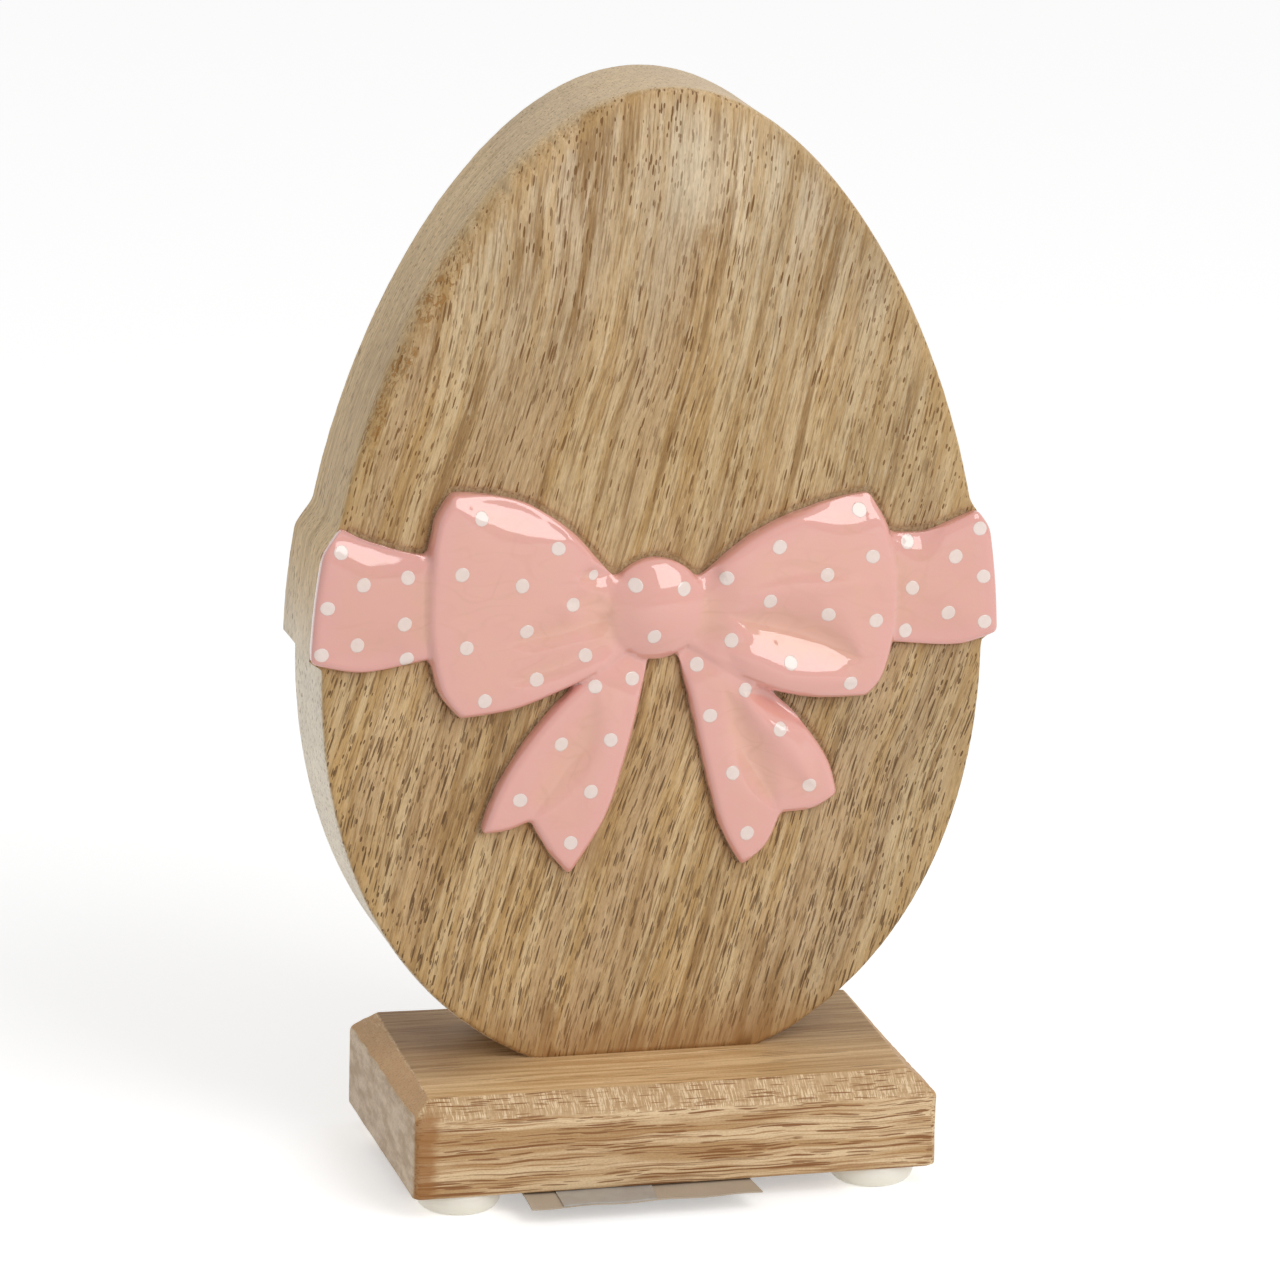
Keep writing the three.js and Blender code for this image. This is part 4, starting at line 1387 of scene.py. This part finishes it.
def chamfer_wood(look, axes, short, grit):
    """Pale sanded slopes with brushed strokes painted as light glints and with ticks, and dusty ones at the
    two ends.
    """
    x, y, z = look.place
    patchy = look.grain(axes, (1.2, 2.5, 30), 2)
    # Brushed strokes on the sanded chamfers, painted light as glints of the lamp
    glint_strokes = look.grain((x, look.line(z, -1.5, y), z), (0.24, 3, 1.5), 3, 0.7)
    uneven = look.step(look.noise(look.mm, 5, 2), 0.36, 0.56, 0.35, 1.0)
    brushed = look.times(look.step(glint_strokes, 0.47, 0.60), uneven)
    ticks = look.pores((look.times(z, 1.4), y, x), 0.5, 4.5, 0.34, 7.7, 0.05)
    dusty = look.coats(look.mix(grit, (0.46, 0.265, 0.115), (0.67, 0.405, 0.195)),
                       (look.times(look.pores(look.place, 0.5, 1.0, 0.30, 5.1), 0.6), (0.30, 0.15, 0.06)))
    return look.coats(
        look.mix(patchy, (0.455, 0.275, 0.122), (0.64, 0.447, 0.255)),
        (look.times(brushed, 0.75), (0.98, 0.78, 0.52)),
        (look.times(ticks, 0.8), (0.32, 0.15, 0.052)),
        (look.times(short, 0.85), (0.27, 0.115, 0.04)),
        (look.times(look.step(look.size_of(look.normal[0]), 0.3, 0.5), 0.92), dusty),
    )


def end_wood(look, blotch, grit):
    """End grain: blotches, saw scratches and specks."""
    x, y, z = look.place
    colour = look.mix(look.step(blotch, 0.35, 0.65), (0.50, 0.355, 0.225), (0.72, 0.575, 0.42))
    colour = look.tinted(colour, grit, 0.24)
    scratches = look.grain((look.plus(y, z), x, look.math("SUBTRACT", z, y)), (0.3, 1, 6), 2)
    colour = look.tinted(colour, scratches, 0.4)
    return look.mix(look.times(look.pores((z, y, x), 0.5, 1.0, 0.25, 2.2), 0.45), colour, (0.26, 0.15, 0.08))


def top_wood(look, grit):
    """The light top, partly lightened as painted glare, with the egg's shadow painted on it towards the back
    left and the back right, and darker at the right.
    """
    x, y, z = look.place
    sheen = look.grain((z, y, x), (3, 1.1, 34), 4, 0.65, 1.3)
    board = look.mix(look.step(sheen, 0.35, 0.65), (0.585, 0.356, 0.153), (0.885, 0.635, 0.357))
    lines = look.pores((y, z, x), 0.7, 14, 0.26, 6.1, 0.03)
    board = look.mix(look.times(lines, 0.7), board, (0.27, 0.13, 0.05))
    return look.filtered(
        look.tinted(board, grit, 0.36),
        # Painted shadow of the egg on the top, at its back left and its back right
        (look.times(look.step(x, -12, -40), look.step(y, -20, 2)), (0.45, 0.385, 0.32)),
        (look.step(x, 5, 32), (0.83, 0.81, 0.765)),
        (look.times(look.step(x, 12, 38), look.step(y, -12, 6)), (0.68, 0.66, 0.64)),
    )


def base_wood():
    look = Look("base_wood")
    x, y, z = look.place
    wavy = look.line(look.grain(look.place, (20, 26, 10), 2), 2.0, -1.0)
    axes = (look.plus(z, wavy), y, look.line(z, 0.02, x))
    end = look.step(look.size_of(look.normal[0]), 0.72, 0.86)
    top = look.step(look.normal[2], 0.93, 0.985)
    slope = look.times(look.step(look.normal[2], 0.25, 0.45), look.less(top))
    front = look.step(look.normal[1], -0.3, -0.7)
    grit = look.grain(axes, (0.2, 0.2, 0.5), 1)
    fine = look.grain(axes, (0.38, 0.8, 22), 3, 0.65, 2.0)
    blotch = look.grain(look.place, (5, 7, 2.4), 4, 0.6)

    broad = look.grain(axes, (2.4, 9, 50), 3, 0.6)
    colour = look.mix(look.step(broad, 0.40, 0.60), (0.515, 0.314, 0.146), (0.775, 0.575, 0.345))
    colour = look.mix(look.step(fine, 0.50, 0.63, 0, 0.8), colour, (0.38, 0.190, 0.072))
    colour = look.tinted(colour, grit, 0.44)
    streaks = look.pores(axes, 0.62, 26, 0.34, 0.0, 0.05)
    short = look.pores(axes, 0.52, 9, 0.34, 4.4, 0.05)
    long = look.pores(axes, 0.52, 46, 0.28, 8.1, 0.05)
    marks = look.most(streaks, look.times(long, 0.8), look.times(short, 0.9))
    burn = look.times(look.step(look.line(blotch, 4, x), BASE_LOW.x + 7.5, BASE_LOW.x + 5), front)
    colour = look.coats(
        colour,
        (look.times(marks, 0.92, look.less(top, 0.55)), (0.240, 0.092, 0.027)),
        (look.times(slope, 0.92), chamfer_wood(look, axes, short, grit)),
        (look.times(end, 0.94), end_wood(look, blotch, grit)),
        (look.times(burn, 0.75), (0.33, 0.140, 0.038)),
        (look.times(top, 0.95), top_wood(look, grit)),
    )
    look.set(Base_Color=colour, Roughness=look.line(fine, 0.2, 0.42), IOR=1.45, Specular_IOR_Level=0.3)
    look.bump(look.math("SUBTRACT", look.times(fine, 0.3), marks), 0.08, 0.6)
    return look.material


# Enamel: a warmer pink where it has pooled, with faint threads in it, and a little darker on the bands

BAND_START = (42, 45)
THREADS = ((13, 0.034, 0.42), (7, 0.038, 0.30))


def pink_enamel():
    look = Look("pink_enamel")
    pool = look.attribute("pool")
    flow = look.noise(look.mm, 4.2, 3, 0.55, 1.2)
    amount = look.math("ADD", pool, look.line(flow, 0.8, -0.4), clamp=True)
    colour = look.mix(look.step(amount, 0.05, 0.9), (0.790, 0.388, 0.332), (0.775, 0.403, 0.297))
    on_band = look.step(look.size_of(look.place[0]), *BAND_START)
    colour = look.filtered(colour, (on_band, (0.96, 0.94, 0.94)))
    patchy = look.step(look.noise(look.mm, 8, 1), 0.34, 0.52)
    for size, thickness, strength in THREADS:
        drift = look.grain(look.place, (1.5 * size, size, 0.7 * size), 1, 0.5, size, 0.5)
        thread = look.step(look.size_of(look.math("SUBTRACT", drift, 0.5)), thickness, 0.0)
        colour = look.mix(look.times(thread, pool, patchy, strength), colour, (0.66, 0.325, 0.225))
    look.set(Base_Color=colour, Roughness=0.05, IOR=1.5, Coat_Weight=0.9, Coat_Roughness=0.03,
             Subsurface_Weight=0.12, Subsurface_Radius=(1.2 * MM, 0.5 * MM, 0.4 * MM), Subsurface_Scale=1.0)
    look.bump(look.noise(look.mm, 6, 1), 0.12, 0.6)
    return look.material


def dot_enamel():
    look = Look("white_dots")
    blush = look.times(look.step(look.attribute("pool"), 0.1, 0.9), 0.35)
    colour = look.mix(blush, (0.84, 0.70, 0.635), (0.80, 0.53, 0.44))
    colour = look.tinted(colour, look.noise(look.mm, 0.8, 2), 0.12, 0.98)
    look.set(Base_Color=colour, Roughness=0.07, IOR=1.5, Coat_Weight=0.7, Coat_Roughness=0.05)
    look.bump(look.noise(look.mm, 6, 1), 0.12, 0.6)
    return look.material


def milky_silicone():
    look = Look("milky_silicone")
    cloud = look.noise(look.mm, 3.0, 2)
    colour = look.mix(cloud, (0.90, 0.835, 0.70), (0.93, 0.87, 0.745))
    # The pads glow faintly: painted light standing in for the bright floor's light showing through the milky
    # silicone
    look.set(Base_Color=colour, Roughness=look.line(cloud, 0.05, 0.3), IOR=1.42, Emission_Color=colour,
             Emission_Strength=0.13, Subsurface_Weight=0.9, Subsurface_Radius=(6 * MM, 5.5 * MM, 5 * MM),
             Subsurface_Scale=1.0)
    return look.material


def zinc_steel():
    look = Look("zinc_steel_fine")
    x, y, z = look.place
    brushed = look.noise(look.join(x, y, look.times(z, 8)), 1.2, 2)
    colour = look.mix(brushed, (0.52, 0.52, 0.53), (0.68, 0.68, 0.67))
    look.set(Base_Color=colour, Roughness=look.line(brushed, 0.2, 0.25), Metallic=1.0)
    return look.material


def matt_paper():
    look = Look("matt_paper")
    fibres = look.noise(look.mm, 0.4, 3, 0.7)
    colour = look.mix(look.noise(look.mm, 7, 2), (0.42, 0.34, 0.25), (0.52, 0.43, 0.33))
    colour = look.mix(look.step(look.place[0], -26, -38), colour, (0.86, 0.82, 0.75))
    look.set(Base_Color=look.tinted(colour, fibres, 0.2), Roughness=0.75)
    look.bump(fibres, 0.04)
    return look.material


def clear_tape():
    look = Look("clear_tape_film")
    clouds = look.noise(look.mm, 3, 3)
    colour = look.mix(clouds, (0.465, 0.43, 0.38), (0.645, 0.615, 0.57))
    look.set(Base_Color=colour, Roughness=look.line(clouds, 0.2, 0.12), IOR=1.48, Transmission_Weight=0.25)
    look.bump(clouds, 0.1)
    return look.material


# Pieces

def dressed(piece, material, slot, *nodes):
    piece.data.materials.append(material)
    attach(piece, "root")
    if nodes:
        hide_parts(*nodes)


bow = build_bow()
dressed(bow, pink_enamel(), "pink_enamel", "bow_enamel")
dressed(build_dots(bow), dot_enamel(), "white_dots")
dressed(build_egg(), egg_wood(), "egg_wood", "egg_body")
dressed(build_base(), base_wood(), "base_wood", "base_plinth")
silicone = milky_silicone()
for place in ("front_left", "front_right", "back_left", "back_right"):
    pad = "foot_pad_" + place
    dressed(build_pad("pad_fine_" + place, pad), silicone, "clear_silicone", pad)
paper = build_sheet("paper_strip", "underside_label", (0.3, -0.1), end_slant=1.2)
dressed(paper, matt_paper(), "plain_paper", "underside_label")
tape = build_sheet("tape_strip", "label_tape", (0.3, 0.1), end_bow=0.8)
dressed(tape, clear_tape(), "clear_tape", "label_tape")
steel = zinc_steel()
for place in ("left", "right"):
    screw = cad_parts["mounting_screw_" + place]
    screw.data.materials.clear()
    screw.data.materials.append(steel)


# Floor, light and camera: lengths are metres, apart from the lens and the sensor

FLOOR_HALF = 6.0
FLOOR_GLOW = 0.42
SKY_SEEN = 1.0
SKY_LIGHT = 0.57
KEY_AZIMUTH = math.radians(30)
KEY_ELEVATION = math.radians(36)
KEY_AIM = Vector((0, 0, 0.1))
KEY_DISTANCE = 1.0
KEY_WIDTH = 0.56
KEY_HEIGHT = 0.8
KEY_RADIANCE = 3.3
SENSOR_WIDTH = 36
CLIP_END = 30


def way_to(azimuth, elevation):
    """The way to a place so far round from the front to the right, and so far up."""
    return Vector((math.sin(azimuth) * math.cos(elevation), -math.cos(azimuth) * math.cos(elevation),
                   math.sin(elevation)))


def build_floor():
    mesh = bpy.data.meshes.new("floor")
    corners = [(-1, -1), (1, -1), (1, 1), (-1, 1)]
    mesh.from_pydata([(x * FLOOR_HALF, y * FLOOR_HALF, 0) for x, y in corners], [], [(0, 1, 2, 3)])
    look = Look("floor_paper")
    colour = look.mix(look.noise(look.mm, 400, 2), (0.895, 0.895, 0.893), (0.905, 0.905, 0.903))
    look.set(Base_Color=colour, Roughness=1.0, Specular_IOR_Level=0.0, Emission_Color=(1, 1, 1),
             Emission_Strength=look.times(look.seen(), FLOOR_GLOW))
    mesh.materials.append(look.material)
    in_scene("floor", mesh)


def build_world():
    world = bpy.data.worlds.new("studio")
    bpy.context.scene.world = world
    world.use_nodes = True
    sky = Nodes(world.node_tree)
    background = sky.tree.nodes["Background"]
    sky.put(background.inputs["Color"], (1, 1, 1))
    sky.put(background.inputs["Strength"], sky.line(sky.seen(), SKY_SEEN - SKY_LIGHT, SKY_LIGHT))


def build_key():
    light = bpy.data.lights.new("key", "AREA")
    light.shape = "RECTANGLE"
    light.size = KEY_WIDTH
    light.size_y = KEY_HEIGHT
    light.energy = KEY_RADIANCE * math.pi * KEY_WIDTH * KEY_HEIGHT
    way = way_to(KEY_AZIMUTH, KEY_ELEVATION)
    key = in_scene("key", light)
    key.location = KEY_AIM + way * KEY_DISTANCE
    key.rotation_euler = way.to_track_quat("Z", "Y").to_euler()
    key.visible_camera = False


def build_camera():
    data = bpy.data.cameras.new("camera")
    data.sensor_width = SENSOR_WIDTH
    data.lens = CAMERA_LENS
    data.clip_end = CLIP_END
    forward = -way_to(-CAMERA_AZIMUTH, CAMERA_ELEVATION)
    level_right = Vector((math.cos(CAMERA_AZIMUTH), -math.sin(CAMERA_AZIMUTH), 0))
    level_down = -level_right.cross(forward)
    right = math.cos(CAMERA_ROLL) * level_right - math.sin(CAMERA_ROLL) * level_down
    down = math.sin(CAMERA_ROLL) * level_right + math.cos(CAMERA_ROLL) * level_down
    turn = Matrix((right, -down, -forward)).transposed()
    camera = in_scene("camera", data)
    camera.matrix_world = Matrix.Translation(CAMERA_PLACE) @ turn.to_4x4()
    bpy.context.scene.camera = camera
    bpy.context.scene.view_settings.view_transform = "Standard"


build_floor()
build_world()
build_key()
build_camera()
